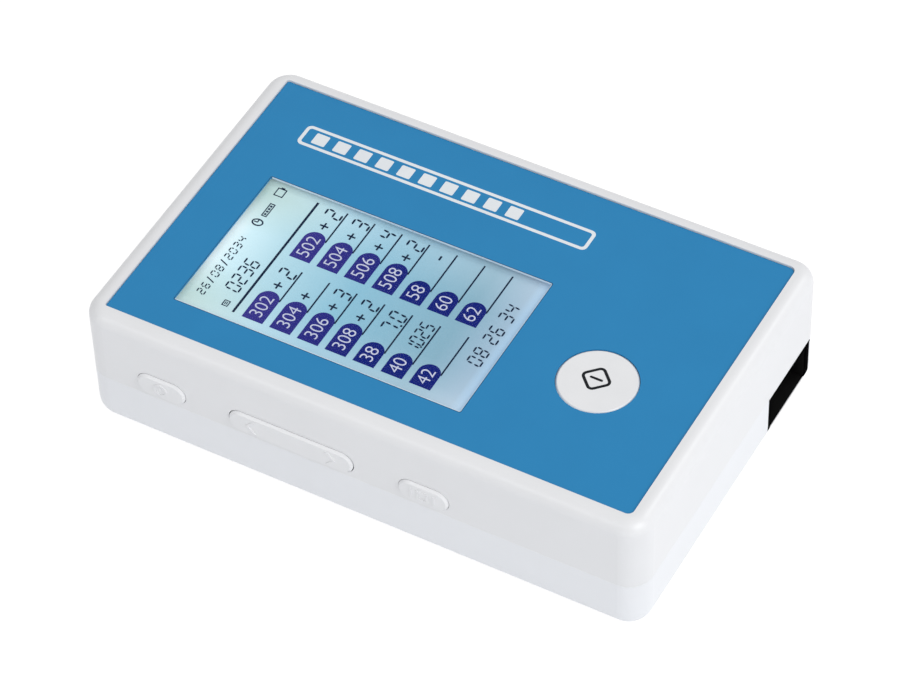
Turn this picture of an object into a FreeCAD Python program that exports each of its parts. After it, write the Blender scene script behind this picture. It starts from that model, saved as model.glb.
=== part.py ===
import FreeCAD, Part
import math
import os

Vec = FreeCAD.Vector

# Hand-held strip reader: a flat two-part housing with a display and a start
# button on its face, three keys on one long side and a strip tray that a small
# motor drives out of a port in one end. Lengths are in millimetres.
# X runs along the length towards the port, Y across, Z up from the table.

# Housing
body_length = 126.0
body_width = 79.6
shell_height = 31.4
corner_radius = 5.2
top_round = 3.0
bottom_round = 4.8
wall = 2.0
seam_drop = 17.8
shadow_gap = 0.08
tongue_thickness = 0.9
tongue_height = 0.8
tongue_clearance = 0.1
overrun = 1.0
touch = 0.000001
screw_sides = 12

# Rubber feet
foot_radius = 4.0
foot_thickness = 1.5
foot_proud = 0.5
foot_clearance = 0.1
foot_bevel = 0.4
foot_end_inset = 21.0
foot_side_inset = 10.8

# Front label
label_end_margin = 4.2
label_side_margin = 3.7
label_depth = 0.4
label_thickness = 0.4
label_round_port = 1.2
label_round_far = 0.4
label_clearance = 0.15

# Display
view_length = 65.2
view_width = 38.5
view_end_inset = 15.3
view_side_inset = 11.65
view_round = 0.4
glass_margin = 2.0
glass_thickness = 1.8
glass_clearance = 0.3
window_margin = 1.2
window_thickness = 0.8
window_clearance = 0.15
stack_gap = 0.1
backlight_thickness = 2.6
backlight_inset = 1.4
frame_wall = 1.4
frame_shelf = 3.0
frame_shelf_thickness = 1.0
contact_strip_thickness = 1.6
contact_strip_inset = 3.6

# Start button and its switch
button_view_gap = 11.63
button_rise = 0.3
button_radius = 8.27
button_gap = 0.12
button_bevel = 0.35
button_travel = 0.6
button_flange = 1.1
button_flange_thickness = 1.0
button_flange_gap = 0.15
button_top_thickness = 1.6
button_skirt = 1.4
button_stem_radius = 2.0
press_spare = 0.1
start_switch_size = 6.0
start_switch_height = 3.5
start_stem_radius = 1.75
start_stem_height = 1.1

# Side keys and their switches
key_drop = 14.1
key_height = 5.4
key_length = 11.2
rocker_length = 28.3
key_pitch = 30.0
key_row_shift = 0.5
key_proud = 0.6
key_gap = 0.1
rocker_end_gap = 0.2
key_bevel = 0.45
key_travel = 0.45
key_flange = 1.0
key_flange_thickness = 0.8
key_flange_gap = 0.1
rocker_flange_length = 8.0
rocker_flange_gap = 0.2
rocker_rib_radius = 0.7
rocker_rib_length = 3.4
rocker_rib_clearance = 0.1
fulcrum_length = 6.0
fulcrum_depth = 3.6
fulcrum_gap = 0.2
key_switch_length = 6.0
key_switch_depth = 3.6
key_switch_stem_radius = 1.0
rocker_switch_offset = 9.0

# Main board and what it carries
board_thickness = 1.6
board_back_inset = 4.5
board_front_inset = 11.8
board_near_gap = 2.0
board_far_gap = 2.22
board_round = 1.5
key_switch_height = 3.92
chip_thickness = 1.4
processor_size = 12.0
driver_size = 10.0
memory_length = 6.0
memory_width = 5.0
processor_shift = 7.1
driver_shift = 16.9
memory_shift = 23.1
radio_length = 18.0
radio_width = 12.0
radio_thickness = 1.0
radio_shield_height = 1.4
radio_shield_inset = 1.2
radio_aerial_length = 2.4
radio_shift = 5.0
radio_edge_gap = 1.0
buzzer_radius = 4.5
buzzer_height = 4.2
buzzer_hole_radius = 0.8
buzzer_end_inset = 17.2
buzzer_side_inset = 8.8
power_plug_length = 8.0
power_plug_width = 5.0
power_plug_height = 4.0
power_plug_wall = 1.0
power_plug_gap = 2.0
power_plug_shift = 6.0

# Charging and data socket
socket_y = -8.0
socket_width = 8.0
socket_height = 3.0
socket_round = 0.9
socket_wall = 0.4
socket_length = 7.0
socket_recess = 0.8
socket_gap = 0.4
socket_tongue_width = 5.0
socket_tongue_thickness = 0.8
socket_back = 2.0

# Screws and the pillars they hold
case_boss_radius = 3.8
case_boss_back_inset = 7.1
case_boss_front_inset = 9.5
case_boss_side_inset = 10.3
case_boss_guide_gap = 11.62
case_head_radius = 2.3
case_head_height = 1.7
case_shank_radius = 1.2
case_head_lift = 7.0
case_thread = 9.0
case_bore_radius = 2.7
screw_clearance = 0.05
shank_clearance = 0.2
board_boss_radius = 2.4
board_boss_back_inset = 8.0
board_boss_front_inset = 17.0
board_boss_far_inset = 6.4
board_boss_near_inset = 15.8
small_head_radius = 1.9
small_head_height = 1.2
small_shank_radius = 0.95
board_thread = 5.0
boss_clearance = 0.6

# Battery
cell_length = 50.0
cell_width = 34.0
cell_height = 8.0
cell_round = 1.6
cell_bevel = 0.8
cell_end_inset = 17.0
cell_side_inset = 6.8
pad_thickness = 0.5
pad_inset = 3.0
cell_clearance = 0.4
rib_thickness = 1.2
rib_height = 5.0

# Port, tray guide and tray
port_side_inset = 13.93
port_width = 18.8
port_drop = 18.5
guide_clearance = 0.15
guide_recess = 0.4
guide_wall = 1.2
guide_end_inset = 13.0
guide_top_gap = 0.2
guide_rib_width = 0.9
guide_rib_thickness = 1.2
guide_mouth = 5.0
guide_chamfer = 0.4
tray_lift = 0.2
tray_front_inset = 5.0
tray_back_gap = 4.0
tray_height = 5.2
tray_plate = 2.2
tray_rail = 3.0
tray_side_clearance = 0.25
tray_rib_gap = 0.3
tray_nose_round = 3.0
groove_width = 5.4
groove_depth = 1.1
groove_inset = 14.0
gutter_width = 9.6
gutter_depth = 0.5
gutter_inset = 5.0
notch_radius = 4.0
tile_length = 8.0
tile_width = 8.0
tile_thickness = 1.0
tile_inset = 3.0
tile_clearance = 0.05
tab_radius = 2.6
tab_thickness = 1.5
tab_lift = 2.0
tab_reach = 3.2
tab_back_inset = 10.0
tab_plate_gap = 6.0
tab_thread = 2.6
slot_margin = 0.7

# Rack, gears and motor
gear_module = 0.6
gear_teeth = 28
pinion_teeth = 14
pressure_angle = 20.0
addendum_share = 0.85
dedendum_share = 1.25
backlash = 0.15
mesh_step = 9.5
gear_end_inset = 31.0
gear_gap = 0.3
gear_hub_radius = 2.4
gear_hub_height = 4.6
gear_seat_height = 0.8
gear_seat_radius = 1.9
axle_radius = 1.0
axle_clearance = 0.05
axle_stand = 1.2
clip_radius = 2.0
clip_thickness = 0.4
clip_gap = 0.15
pinion_extra = 0.8
pinion_clearance = 0.02
shaft_radius = 0.75
shaft_running = 0.05
shaft_low_gap = 0.9
shaft_inside = 4.0
motor_radius = 7.5
motor_height = 9.2
motor_nose_radius = 2.4
motor_bevel = 0.8
motor_plug_width = 6.0
motor_plug_reach = 1.6
motor_plug_height = 3.0
plate_thickness = 1.0
plate_lift = 5.9
plate_back_reach = 24.0
plate_front_reach = 15.0
plate_near_reach = 16.18
plate_gap = 0.9
plate_round = 3.0
post_radius = 2.4
post_back_inset = 3.2
post_back_drop = 6.18
post_front_inset = 3.0
post_near_inset = 4.0
post_far_rise = 1.82
post_thread = 4.0

# Optical head over the tray
head_end_inset = 16.5
head_length = 14.0
head_height = 10.0
head_round = 1.0
chamber_low_radius = 4.4
chamber_high_radius = 2.2
chamber_height = 6.6
lens_radius = 2.6
lens_thickness = 1.5
lens_clearance = 0.05
lens_bevel = 0.5
sensor_size = 3.6
sensor_height = 1.1
led_radius = 1.5
led_length = 4.2
led_tip = 0.7
led_distance = 6.6
led_clearance = 0.1
led_angle = 45.0
led_bore = 20.0
head_ear_thickness = 2.0
head_ear_radius = 2.2
head_ear_reach = 2.3
head_ear_back_inset = 3.5
head_ear_front_inset = 9.1
head_thread = 5.0
sensor_board_thickness = 1.2
sensor_board_inset = 0.5

# Ribbon from the sensor board to the main board
ribbon_width = 4.6
ribbon_thickness = 0.3
ribbon_inset = 2.5
ribbon_overlap = 2.4
ribbon_bend = 0.9
ribbon_drop_gap = 1.4
ribbon_plug_width = 5.4
ribbon_plug_length = 3.0
ribbon_plug_height = 2.0
ribbon_plug_entry = 1.1
ribbon_plug_inset = 0.5

# Home switch behind the tray
home_length = 5.4
home_width = 5.8
home_height = 5.4
home_gap = 0.15
home_shift = 4.27
home_plunger_radius = 0.8
home_plunger_rise = 4.0
home_plunger_gap = 0.4
home_hole_clearance = 0.3

# Levels and places that follow from the sizes above
half_length = body_length / 2
half_width = body_width / 2
label_length = body_length - 2 * label_end_margin
label_width = body_width - 2 * label_side_margin
view_x = -half_length + view_end_inset + view_length / 2
view_y = -half_width + view_side_inset + view_width / 2
contact_strip_length = view_length - 2 * contact_strip_inset
button_x = view_x + view_length / 2 + button_view_gap + button_radius
button_y = view_y + button_rise
key_row_x = view_x + key_row_shift
foot_x = half_length - foot_end_inset
foot_y = half_width - foot_side_inset
bottom_z = foot_proud
top_z = bottom_z + shell_height
floor_z = bottom_z + wall
seam_z = top_z - seam_drop
label_top_z = top_z - label_depth
label_under_z = label_top_z - label_thickness
roof_z = label_under_z - wall
window_under_z = label_under_z - window_thickness
glass_top_z = window_under_z - stack_gap
glass_under_z = glass_top_z - glass_thickness
key_z = top_z - key_drop
board_under_z = key_z + key_switch_height / 2
board_top_z = board_under_z + board_thickness
inner_half_width = half_width - wall
port_y = half_width - port_side_inset
guide_back = half_length - guide_end_inset
tray_front = half_length - tray_front_inset
tray_back = guide_back - tray_back_gap
groove_back = tray_back - groove_inset
gutter_front = tray_front - gutter_inset
tile_x = -tray_back + tile_inset + tile_length / 2
key_back_y = -inner_half_width + key_flange_gap + key_flange_thickness
port_top_z = top_z - port_drop
guide_top_z = port_top_z - guide_top_gap
guide_width = port_width - 2 * guide_clearance
channel_width = guide_width - 2 * guide_wall
channel_floor_z = floor_z + guide_wall
tray_width = channel_width - 2 * tray_side_clearance
tray_low_z = channel_floor_z + tray_lift
tray_top_z = tray_low_z + tray_height
gear_low_z = tray_low_z + gear_gap
gear_high_z = tray_top_z - tray_plate - gear_gap
plate_low_z = floor_z + plate_lift
plate_top_z = plate_low_z + plate_thickness
addendum = addendum_share * gear_module
dedendum = dedendum_share * gear_module
gear_pitch_radius = gear_teeth * gear_module / 2
pinion_pitch_radius = pinion_teeth * gear_module / 2
tooth_pitch = math.pi * gear_module
rack_tip_y = port_y - tray_width / 2
rack_pitch_y = rack_tip_y + addendum
gear_x = half_length - gear_end_inset
gear_y = rack_pitch_y - gear_pitch_radius
plate_back_x = gear_x - plate_back_reach
plate_front_x = gear_x + plate_front_reach
plate_near_y = gear_y - plate_near_reach
mesh_angle = 90.0 + mesh_step * 360.0 / gear_teeth
mesh_distance = gear_pitch_radius + pinion_pitch_radius
pinion_x = gear_x + mesh_distance * math.cos(math.radians(mesh_angle))
pinion_y = gear_y + mesh_distance * math.sin(math.radians(mesh_angle))
guide_near_y = port_y - guide_width / 2
board_back = half_length - board_back_inset
board_front = half_length - board_front_inset
board_near = inner_half_width - board_near_gap
board_far = guide_near_y - board_far_gap
cell_x = -half_length + cell_end_inset + cell_length / 2
cell_y = -half_width + cell_side_inset + cell_width / 2
power_plug_x = cell_x + cell_length / 2 + power_plug_gap
power_plug_y = cell_y - power_plug_shift
radio_x = cell_x - radio_shift
radio_y = board_far - radio_edge_gap - radio_width / 2
buzzer_x = board_front - buzzer_end_inset
buzzer_y = -board_near + buzzer_side_inset
head_back = half_length - head_end_inset
head_front = head_back + head_length
ribbon_x = head_back + ribbon_inset
home_y = port_y - home_shift
case_boss_back = half_length - case_boss_back_inset
case_boss_front = half_length - case_boss_front_inset
case_boss_side = half_width - case_boss_side_inset
case_boss_middle = guide_near_y - case_boss_guide_gap
board_boss_back = half_length - board_boss_back_inset
board_boss_front = half_length - board_boss_front_inset
board_boss_far = board_far - board_boss_far_inset
board_boss_near = board_near - board_boss_near_inset
head_x = head_back + head_length / 2
head_top_z = guide_top_z + head_height
sensor_board_top_z = head_top_z + sensor_board_thickness
case_boss_places = [(-case_boss_back, -case_boss_side), (-case_boss_back, case_boss_side),
                    (case_boss_front, -case_boss_side), (case_boss_front, case_boss_middle)]
board_boss_places = [(-board_boss_back, board_boss_far), (-board_boss_back, -board_boss_near),
                     (board_boss_front, board_boss_far), (board_boss_front, -board_boss_near)]
foot_places = [(side_x * foot_x, side_y * foot_y) for side_x in (-1, 1) for side_y in (-1, 1)]
post_places = [(plate_back_x + post_back_inset, gear_y - post_back_drop),
               (plate_front_x - post_front_inset, plate_near_y + post_near_inset),
               (plate_front_x - post_front_inset, gear_y + post_far_rise)]
tab_places = [(-guide_back + tab_back_inset, guide_near_y - tab_reach),
              (plate_back_x - tab_plate_gap, guide_near_y - tab_reach)]
head_ear_places = [(head_back + head_ear_back_inset, guide_near_y - head_ear_reach),
                   (head_back + head_ear_front_inset, guide_near_y - head_ear_reach)]
key_switch_places = [key_row_x - key_pitch, key_row_x - rocker_switch_offset,
                     key_row_x + rocker_switch_offset, key_row_x + key_pitch]


# Basic forms

def box(x_lo, x_hi, y_lo, y_hi, z_lo, z_hi):
    return Part.makeBox(x_hi - x_lo, y_hi - y_lo, z_hi - z_lo, Vec(x_lo, y_lo, z_lo))


def post(x, y, radius, z_lo, z_hi):
    return Part.makeCylinder(radius, z_hi - z_lo, Vec(x, y, z_lo))


def centred_box(x, y, length, width, z_lo, z_hi):
    return box(x - length / 2, x + length / 2, y - width / 2, y + width / 2, z_lo, z_hi)


def few_sided(x, y, radius, z_lo, z_hi):
    """Post with a few flat sides, for what repeats out of sight."""
    turns = [2 * math.pi * side / screw_sides for side in range(screw_sides)]
    points = [Vec(x + radius * math.cos(turn), y + radius * math.sin(turn), z_lo) for turn in turns]
    face = Part.Face(Part.makePolygon(points + points[:1]))
    return face.extrude(Vec(0, 0, z_hi - z_lo))


def rounded_block(x_lo, x_hi, y_lo, y_hi, z_lo, z_hi, radii):
    """Upright block; radii go round from the +X +Y corner, anticlockwise."""
    corners = [(x_hi, y_hi, 1, 1), (x_lo, y_hi, -1, 1), (x_lo, y_lo, -1, -1), (x_hi, y_lo, 1, -1)]
    spans = []
    for (x, y, side_x, side_y), radius, turn in zip(corners, radii, (0, 90, 180, 270)):
        centre = Vec(x - side_x * radius, y - side_y * radius, z_lo)
        points = []
        for angle in (turn, turn + 45, turn + 90):
            way = Vec(math.cos(math.radians(angle)), math.sin(math.radians(angle)), 0)
            points.append(centre + way * radius)
        spans.append(points)
    edges = []
    for index, points in enumerate(spans):
        edges.append(Part.Arc(*points).toShape())
        edges.append(Part.LineSegment(points[2], spans[(index + 1) % len(spans)][0]).toShape())
    face = Part.Face(Part.Wire(edges))
    return face.extrude(Vec(0, 0, z_hi - z_lo))


def centred_block(x, y, length, width, z_lo, z_hi, radius):
    return rounded_block(x - length / 2, x + length / 2, y - width / 2, y + width / 2,
                         z_lo, z_hi, [radius] * 4)


def level_edges(shape, z):
    """Edges that lie wholly at one height."""
    return [edge for edge in shape.Edges
            if abs(edge.BoundBox.ZMin - z) < touch and abs(edge.BoundBox.ZMax - z) < touch]


def pill(x, z, length, height, y_lo, y_hi):
    """Bar with round ends, upright on its edge, that runs through the side wall."""
    radius = height / 2
    reach = length / 2 - radius
    top_left = Vec(x - reach, y_lo, z + radius)
    top_right = Vec(x + reach, y_lo, z + radius)
    low_right = Vec(x + reach, y_lo, z - radius)
    low_left = Vec(x - reach, y_lo, z - radius)
    edges = [Part.LineSegment(top_left, top_right).toShape(),
             Part.Arc(top_right, Vec(x + reach + radius, y_lo, z), low_right).toShape(),
             Part.LineSegment(low_right, low_left).toShape(),
             Part.Arc(low_left, Vec(x - reach - radius, y_lo, z), top_left).toShape()]
    return Part.Face(Part.Wire(edges)).extrude(Vec(0, y_hi - y_lo, 0))


def housing_block(inset, z_lo, z_hi):
    """The housing's upright outline, or a smaller one inside it."""
    x_reach = half_length - inset
    y_reach = half_width - inset
    return rounded_block(-x_reach, x_reach, -y_reach, y_reach, z_lo, z_hi,
                         [corner_radius - inset] * 4)


def screw_up(x, y, seat_z, head_radius, head_height, shank_radius, length):
    """Screw with its head below seat_z and its shank above it."""
    head = few_sided(x, y, head_radius, seat_z - head_height, seat_z)
    return head.fuse(few_sided(x, y, shank_radius, seat_z, seat_z + length))


def screw_down(x, y, seat_z, head_radius, head_height, shank_radius, length):
    """Screw with its head above seat_z and its shank below it."""
    head = few_sided(x, y, head_radius, seat_z, seat_z + head_height)
    return head.fuse(few_sided(x, y, shank_radius, seat_z - length, seat_z))


# Housing

def outer_form():
    solid = housing_block(0, bottom_z, top_z)
    solid = solid.makeFillet(top_round, level_edges(solid, top_z))
    return solid.makeFillet(bottom_round, level_edges(solid, bottom_z))


def cavity():
    """The hollow inside, with a sloped edge along its floor."""
    solid = housing_block(wall, floor_z, roof_z)
    return solid.makeChamfer(bottom_round - wall, level_edges(solid, floor_z))


def tongue(clearance):
    """Rim inside the wall that lines the two shells up."""
    inset = wall - tongue_thickness - clearance
    outer = housing_block(inset, seam_z - overrun, seam_z + tongue_height)
    inner = housing_block(wall, seam_z - 2 * overrun, seam_z + 2 * overrun)
    return outer.cut(inner)


def port_cut():
    reach = port_width / 2
    return box(half_length - bottom_round - overrun, half_length + overrun,
               port_y - reach, port_y + reach, floor_z, seam_z + 2 * overrun)


def upper_shell():
    above = box(-body_length, body_length, -body_width, body_width,
                seam_z + shadow_gap / 2, top_z + overrun)
    shell = outer_form().common(above).cut(cavity()).cut(tongue(tongue_clearance))
    reach = port_width / 2 - guide_clearance
    shell = shell.fuse(box(half_length - wall, half_length, port_y - reach, port_y + reach,
                           port_top_z, seam_z + shadow_gap))
    for x, y in case_boss_places:
        shell = shell.fuse(post(x, y, case_boss_radius, seam_z, roof_z + overrun / 2))
    for x, y in board_boss_places:
        shell = shell.fuse(post(x, y, board_boss_radius, board_top_z, roof_z + overrun / 2))
    for x, y in case_boss_places:
        shell = shell.cut(post(x, y, case_shank_radius + screw_clearance, seam_z - overrun,
                               seam_z + case_thread + overrun))
    for x, y in board_boss_places:
        shell = shell.cut(post(x, y, small_shank_radius + screw_clearance, board_top_z - overrun,
                               board_top_z + board_thread + overrun))
    shell = shell.cut(label_form(label_clearance, label_under_z, top_z + overrun))
    opening = glass_margin + glass_clearance
    shell = shell.cut(centred_block(view_x, view_y, view_length + 2 * opening,
                                    view_width + 2 * opening, roof_z - overrun,
                                    top_z, view_round))
    rebate = glass_margin + window_margin + window_clearance
    shell = shell.cut(centred_block(view_x, view_y, view_length + 2 * rebate,
                                    view_width + 2 * rebate, window_under_z,
                                    top_z, label_round_port))
    shell = shell.cut(post(button_x, button_y, button_radius + button_gap, roof_z - overrun, top_z))
    outside = -half_width - overrun
    inside = -inner_half_width + overrun
    for x, length, end_gap in ((key_row_x - key_pitch, key_length, key_gap),
                               (key_row_x, rocker_length, rocker_end_gap),
                               (key_row_x + key_pitch, key_length, key_gap)):
        shell = shell.cut(pill(x, key_z, length + 2 * end_gap, key_height + 2 * key_gap,
                               outside, inside))
    socket_z = board_under_z - socket_height / 2
    mouth = rounded_block(-socket_width / 2 - socket_gap, socket_width / 2 + socket_gap,
                          -socket_height / 2 - socket_gap, socket_height / 2 + socket_gap,
                          0, wall + 2 * overrun, [socket_round + socket_gap] * 4)
    mouth.rotate(Vec(0, 0, 0), Vec(1, 1, 1), 120)
    mouth.translate(Vec(-half_length - overrun, socket_y, socket_z))
    return shell.cut(mouth)


def lower_shell():
    below = box(-body_length, body_length, -body_width, body_width,
                bottom_z - overrun, seam_z - shadow_gap / 2)
    shell = outer_form().common(below).fuse(tongue(0)).cut(cavity_below_seam())
    for x, y in case_boss_places:
        shell = shell.fuse(post(x, y, case_boss_radius, bottom_z + wall / 2, seam_z))
    for x, y in post_places:
        shell = shell.fuse(post(x, y, post_radius, floor_z - wall / 2, plate_low_z))
    for x, y in tab_places:
        shell = shell.fuse(post(x, y, tab_radius, floor_z - wall / 2, floor_z + tab_lift))
    seat_top_z = floor_z + gear_seat_height
    shell = shell.fuse(post(gear_x, gear_y, gear_seat_radius, floor_z - wall / 2, seat_top_z))
    outer = cell_clearance + rib_thickness
    ring = centred_block(cell_x, cell_y, cell_length + 2 * outer, cell_width + 2 * outer,
                         floor_z - wall / 2, floor_z + rib_height, cell_round + rib_thickness)
    ring = ring.cut(centred_block(cell_x, cell_y, cell_length + 2 * cell_clearance,
                                  cell_width + 2 * cell_clearance, floor_z,
                                  floor_z + rib_height + overrun, cell_round))
    shell = shell.fuse(ring)
    for x, y in case_boss_places:
        shell = shell.cut(post(x, y, case_bore_radius, bottom_z - overrun,
                               bottom_z + case_head_lift + case_head_height))
        shell = shell.cut(post(x, y, case_shank_radius + shank_clearance, bottom_z, seam_z + overrun))
    for x, y in post_places:
        shell = shell.cut(post(x, y, small_shank_radius + screw_clearance,
                               plate_low_z - post_thread, plate_low_z + overrun))
    for x, y in tab_places:
        shell = shell.cut(post(x, y, small_shank_radius + screw_clearance,
                               floor_z + tab_lift - tab_thread, floor_z + tab_lift + overrun))
    shell = shell.cut(post(gear_x, gear_y, axle_radius + screw_clearance, floor_z, seat_top_z + overrun))
    for x, y in foot_places:
        shell = shell.cut(post(x, y, foot_radius + foot_clearance, bottom_z - overrun,
                               foot_thickness))
    return shell.cut(port_cut())


def cavity_below_seam():
    top = box(-body_length, body_length, -body_width, body_width, 0, seam_z + 2 * overrun)
    return cavity().common(top)


def label_form(clearance, z_lo, z_hi):
    x_reach = label_length / 2 + clearance
    y_reach = label_width / 2 + clearance
    port_side = label_round_port + clearance
    far_side = label_round_far + clearance
    return rounded_block(-x_reach, x_reach, -y_reach, y_reach, z_lo, z_hi,
                         [port_side, far_side, far_side, port_side])


def panel_overlay():
    label = label_form(0, label_under_z, label_top_z)
    label = label.cut(centred_block(view_x, view_y, view_length, view_width,
                                    label_under_z - overrun, top_z, view_round))
    return label.cut(post(button_x, button_y, button_radius + button_gap,
                          label_under_z - overrun, top_z))


def rubber_feet():
    feet = []
    for x, y in foot_places:
        foot = post(x, y, foot_radius, 0, foot_thickness)
        feet.append(foot.makeChamfer(foot_bevel, level_edges(foot, 0)))
    return Part.makeCompound(feet)


def case_screws():
    seat_z = bottom_z + case_head_lift + case_head_height
    length = seam_z - seat_z + case_thread
    return Part.makeCompound([screw_up(x, y, seat_z, case_head_radius, case_head_height,
                                       case_shank_radius, length) for x, y in case_boss_places])


# Display

def display_window():
    margin = glass_margin + window_margin
    return centred_block(view_x, view_y, view_length + 2 * margin, view_width + 2 * margin,
                         window_under_z, label_under_z, label_round_port - window_clearance)


def lcd_glass():
    return centred_box(view_x, view_y, view_length + 2 * glass_margin,
                       view_width + 2 * glass_margin, glass_under_z, glass_top_z)


def lcd_backlight():
    top = glass_under_z - stack_gap
    return centred_box(view_x, view_y, view_length, view_width - 2 * backlight_inset,
                       top - backlight_thickness, top)


def lcd_frame():
    inner_length = view_length + 2 * glass_margin + 2 * glass_clearance
    inner_width = view_width + 2 * glass_margin + 2 * glass_clearance
    frame = centred_block(view_x, view_y, inner_length + 2 * frame_wall,
                          inner_width + 2 * frame_wall, board_top_z, roof_z, frame_wall)
    frame = frame.cut(centred_block(view_x, view_y, inner_length, inner_width,
                                    board_top_z - overrun, roof_z + overrun, glass_clearance))
    shelf_top = glass_under_z - stack_gap - backlight_thickness
    for side in (-1, 1):
        edge_x = view_x + side * (inner_length / 2 + frame_wall / 2)
        tip_x = view_x + side * (inner_length / 2 - frame_shelf)
        frame = frame.fuse(box(min(edge_x, tip_x), max(edge_x, tip_x),
                               view_y - view_width / 2 + backlight_inset,
                               view_y + view_width / 2 - backlight_inset,
                               shelf_top - frame_shelf_thickness, shelf_top))
    return frame


def lcd_contact_strips():
    strips = []
    for side in (-1, 1):
        y = view_y + side * (view_width / 2 + glass_margin - contact_strip_thickness)
        strips.append(centred_box(view_x, y, contact_strip_length, contact_strip_thickness,
                                  board_top_z, glass_under_z))
    return Part.makeCompound(strips)


# Start button

def start_button():
    flange_top = roof_z - button_flange_gap
    flange_low = flange_top - button_flange_thickness
    cap = post(button_x, button_y, button_radius, flange_low, label_top_z)
    cap = cap.makeChamfer(button_bevel, level_edges(cap, label_top_z))
    cap = cap.fuse(post(button_x, button_y, button_radius + button_flange, flange_low, flange_top))
    cap = cap.cut(post(button_x, button_y, button_radius - button_skirt, flange_low - overrun,
                       label_top_z - button_top_thickness))
    switch_top = board_top_z + start_switch_height + start_stem_height
    stem_low = switch_top + button_travel + press_spare
    return cap.fuse(post(button_x, button_y, button_stem_radius, stem_low,
                         label_top_z - button_top_thickness / 2))


def start_switch():
    body_top = board_top_z + start_switch_height
    body = centred_box(button_x, button_y, start_switch_size, start_switch_size,
                       board_top_z, body_top)
    return body.fuse(post(button_x, button_y, start_stem_radius, body_top,
                          body_top + start_stem_height))


# Side keys

def key_cap(x, length):
    cap = pill(x, key_z, length, key_height, -half_width - key_proud, key_back_y)
    front = [edge for edge in cap.Edges
             if edge.BoundBox.YMax < -half_width - key_proud / 2]
    return cap.makeChamfer(key_bevel, front)


def slide_key(x):
    flange_front = -inner_half_width + key_flange_gap
    flange = pill(x, key_z, key_length + 2 * key_flange, key_height + 2 * key_flange,
                  flange_front, key_back_y)
    return key_cap(x, key_length).fuse(flange)


def left_key():
    return slide_key(key_row_x - key_pitch)


def right_key():
    return slide_key(key_row_x + key_pitch)


def rocker_key():
    flange_front = -inner_half_width + rocker_flange_gap
    reach = rocker_flange_length / 2
    high = key_height / 2 + key_flange
    flange = box(key_row_x - reach, key_row_x + reach, flange_front, key_back_y,
                 key_z - high, key_z + high)
    rib = post(key_row_x, rocker_axis_y(), rocker_rib_radius,
               key_z - rocker_rib_length / 2, key_z + rocker_rib_length / 2)
    return key_cap(key_row_x, rocker_length).fuse(flange).fuse(rib)


def rocker_axis_y():
    return key_back_y + rocker_rib_radius - rocker_rib_clearance


def rocker_fulcrum():
    front = key_back_y + fulcrum_gap
    reach = fulcrum_length / 2
    block = box(key_row_x - reach, key_row_x + reach, front, front + fulcrum_depth,
                board_under_z - key_switch_height, board_under_z)
    groove = post(key_row_x, rocker_axis_y(), rocker_rib_radius + rocker_rib_clearance,
                  board_under_z - key_switch_height - overrun, board_under_z + overrun)
    return block.cut(groove)


def key_switches():
    stem_tip = key_back_y + key_travel + press_spare / 2
    body_front = -board_near
    switches = []
    for x in key_switch_places:
        reach = key_switch_length / 2
        body = box(x - reach, x + reach, body_front, body_front + key_switch_depth,
                   board_under_z - key_switch_height, board_under_z)
        stem = Part.makeCylinder(key_switch_stem_radius, body_front - stem_tip + overrun / 2,
                                 Vec(x, stem_tip, key_z), Vec(0, 1, 0))
        switches.append(body.fuse(stem))
    return Part.makeCompound(switches)


# Main board

def main_board():
    board = rounded_block(-board_back, board_front, -board_near, board_far,
                          board_under_z, board_top_z, [board_round] * 4)
    for x, y in case_boss_places:
        board = board.cut(post(x, y, case_boss_radius + boss_clearance,
                               board_under_z - overrun, board_top_z + overrun))
    for x, y in board_boss_places:
        board = board.cut(post(x, y, small_shank_radius + shank_clearance,
                               board_under_z - overrun, board_top_z + overrun))
    return board


def board_chips():
    chips = []
    for shift, length, width in ((processor_shift, processor_size, processor_size),
                                 (-driver_shift, driver_size, driver_size),
                                 (memory_shift, memory_length, memory_width)):
        chips.append(centred_box(view_x + shift, view_y, length, width, board_top_z,
                                 board_top_z + chip_thickness))
    return Part.makeCompound(chips)


def radio_module():
    card_low = board_under_z - radio_thickness
    card = centred_box(radio_x, radio_y, radio_length, radio_width, card_low, board_under_z)
    shield = centred_box(radio_x - radio_aerial_length / 2, radio_y,
                         radio_length - radio_aerial_length - 2 * radio_shield_inset,
                         radio_width - 2 * radio_shield_inset,
                         card_low - radio_shield_height, card_low)
    return card.fuse(shield)


def buzzer():
    drum = post(buzzer_x, buzzer_y, buzzer_radius, board_under_z - buzzer_height, board_under_z)
    return drum.cut(post(buzzer_x, buzzer_y, buzzer_hole_radius,
                         board_under_z - buzzer_height - overrun, board_under_z - buzzer_height / 2))


def battery_connector():
    low = board_under_z - power_plug_height
    body = centred_box(power_plug_x, power_plug_y, power_plug_length, power_plug_width,
                       low, board_under_z)
    mouth = centred_box(power_plug_x, power_plug_y, power_plug_length - 2 * power_plug_wall,
                        power_plug_width - 2 * power_plug_wall, low - overrun,
                        low + power_plug_height / 2)
    return body.cut(mouth)


def usb_socket():
    mouth_x = -half_length + socket_recess
    z = board_under_z - socket_height / 2
    half_w = socket_width / 2
    half_h = socket_height / 2
    shell = rounded_block(-half_w, half_w, -half_h, half_h, 0, socket_length, [socket_round] * 4)
    inner_w = half_w - socket_wall
    inner_h = half_h - socket_wall
    shell = shell.cut(rounded_block(-inner_w, inner_w, -inner_h, inner_h, -overrun,
                                    socket_length - socket_back, [socket_round - socket_wall] * 4))
    blade_w = socket_tongue_width / 2
    blade_h = socket_tongue_thickness / 2
    blade = box(-blade_w, blade_w, -blade_h, blade_h, socket_recess, socket_length - socket_wall)
    shell = shell.fuse(blade)
    shell.rotate(Vec(0, 0, 0), Vec(1, 1, 1), 120)
    shell.translate(Vec(mouth_x, socket_y, z))
    return shell


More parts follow.
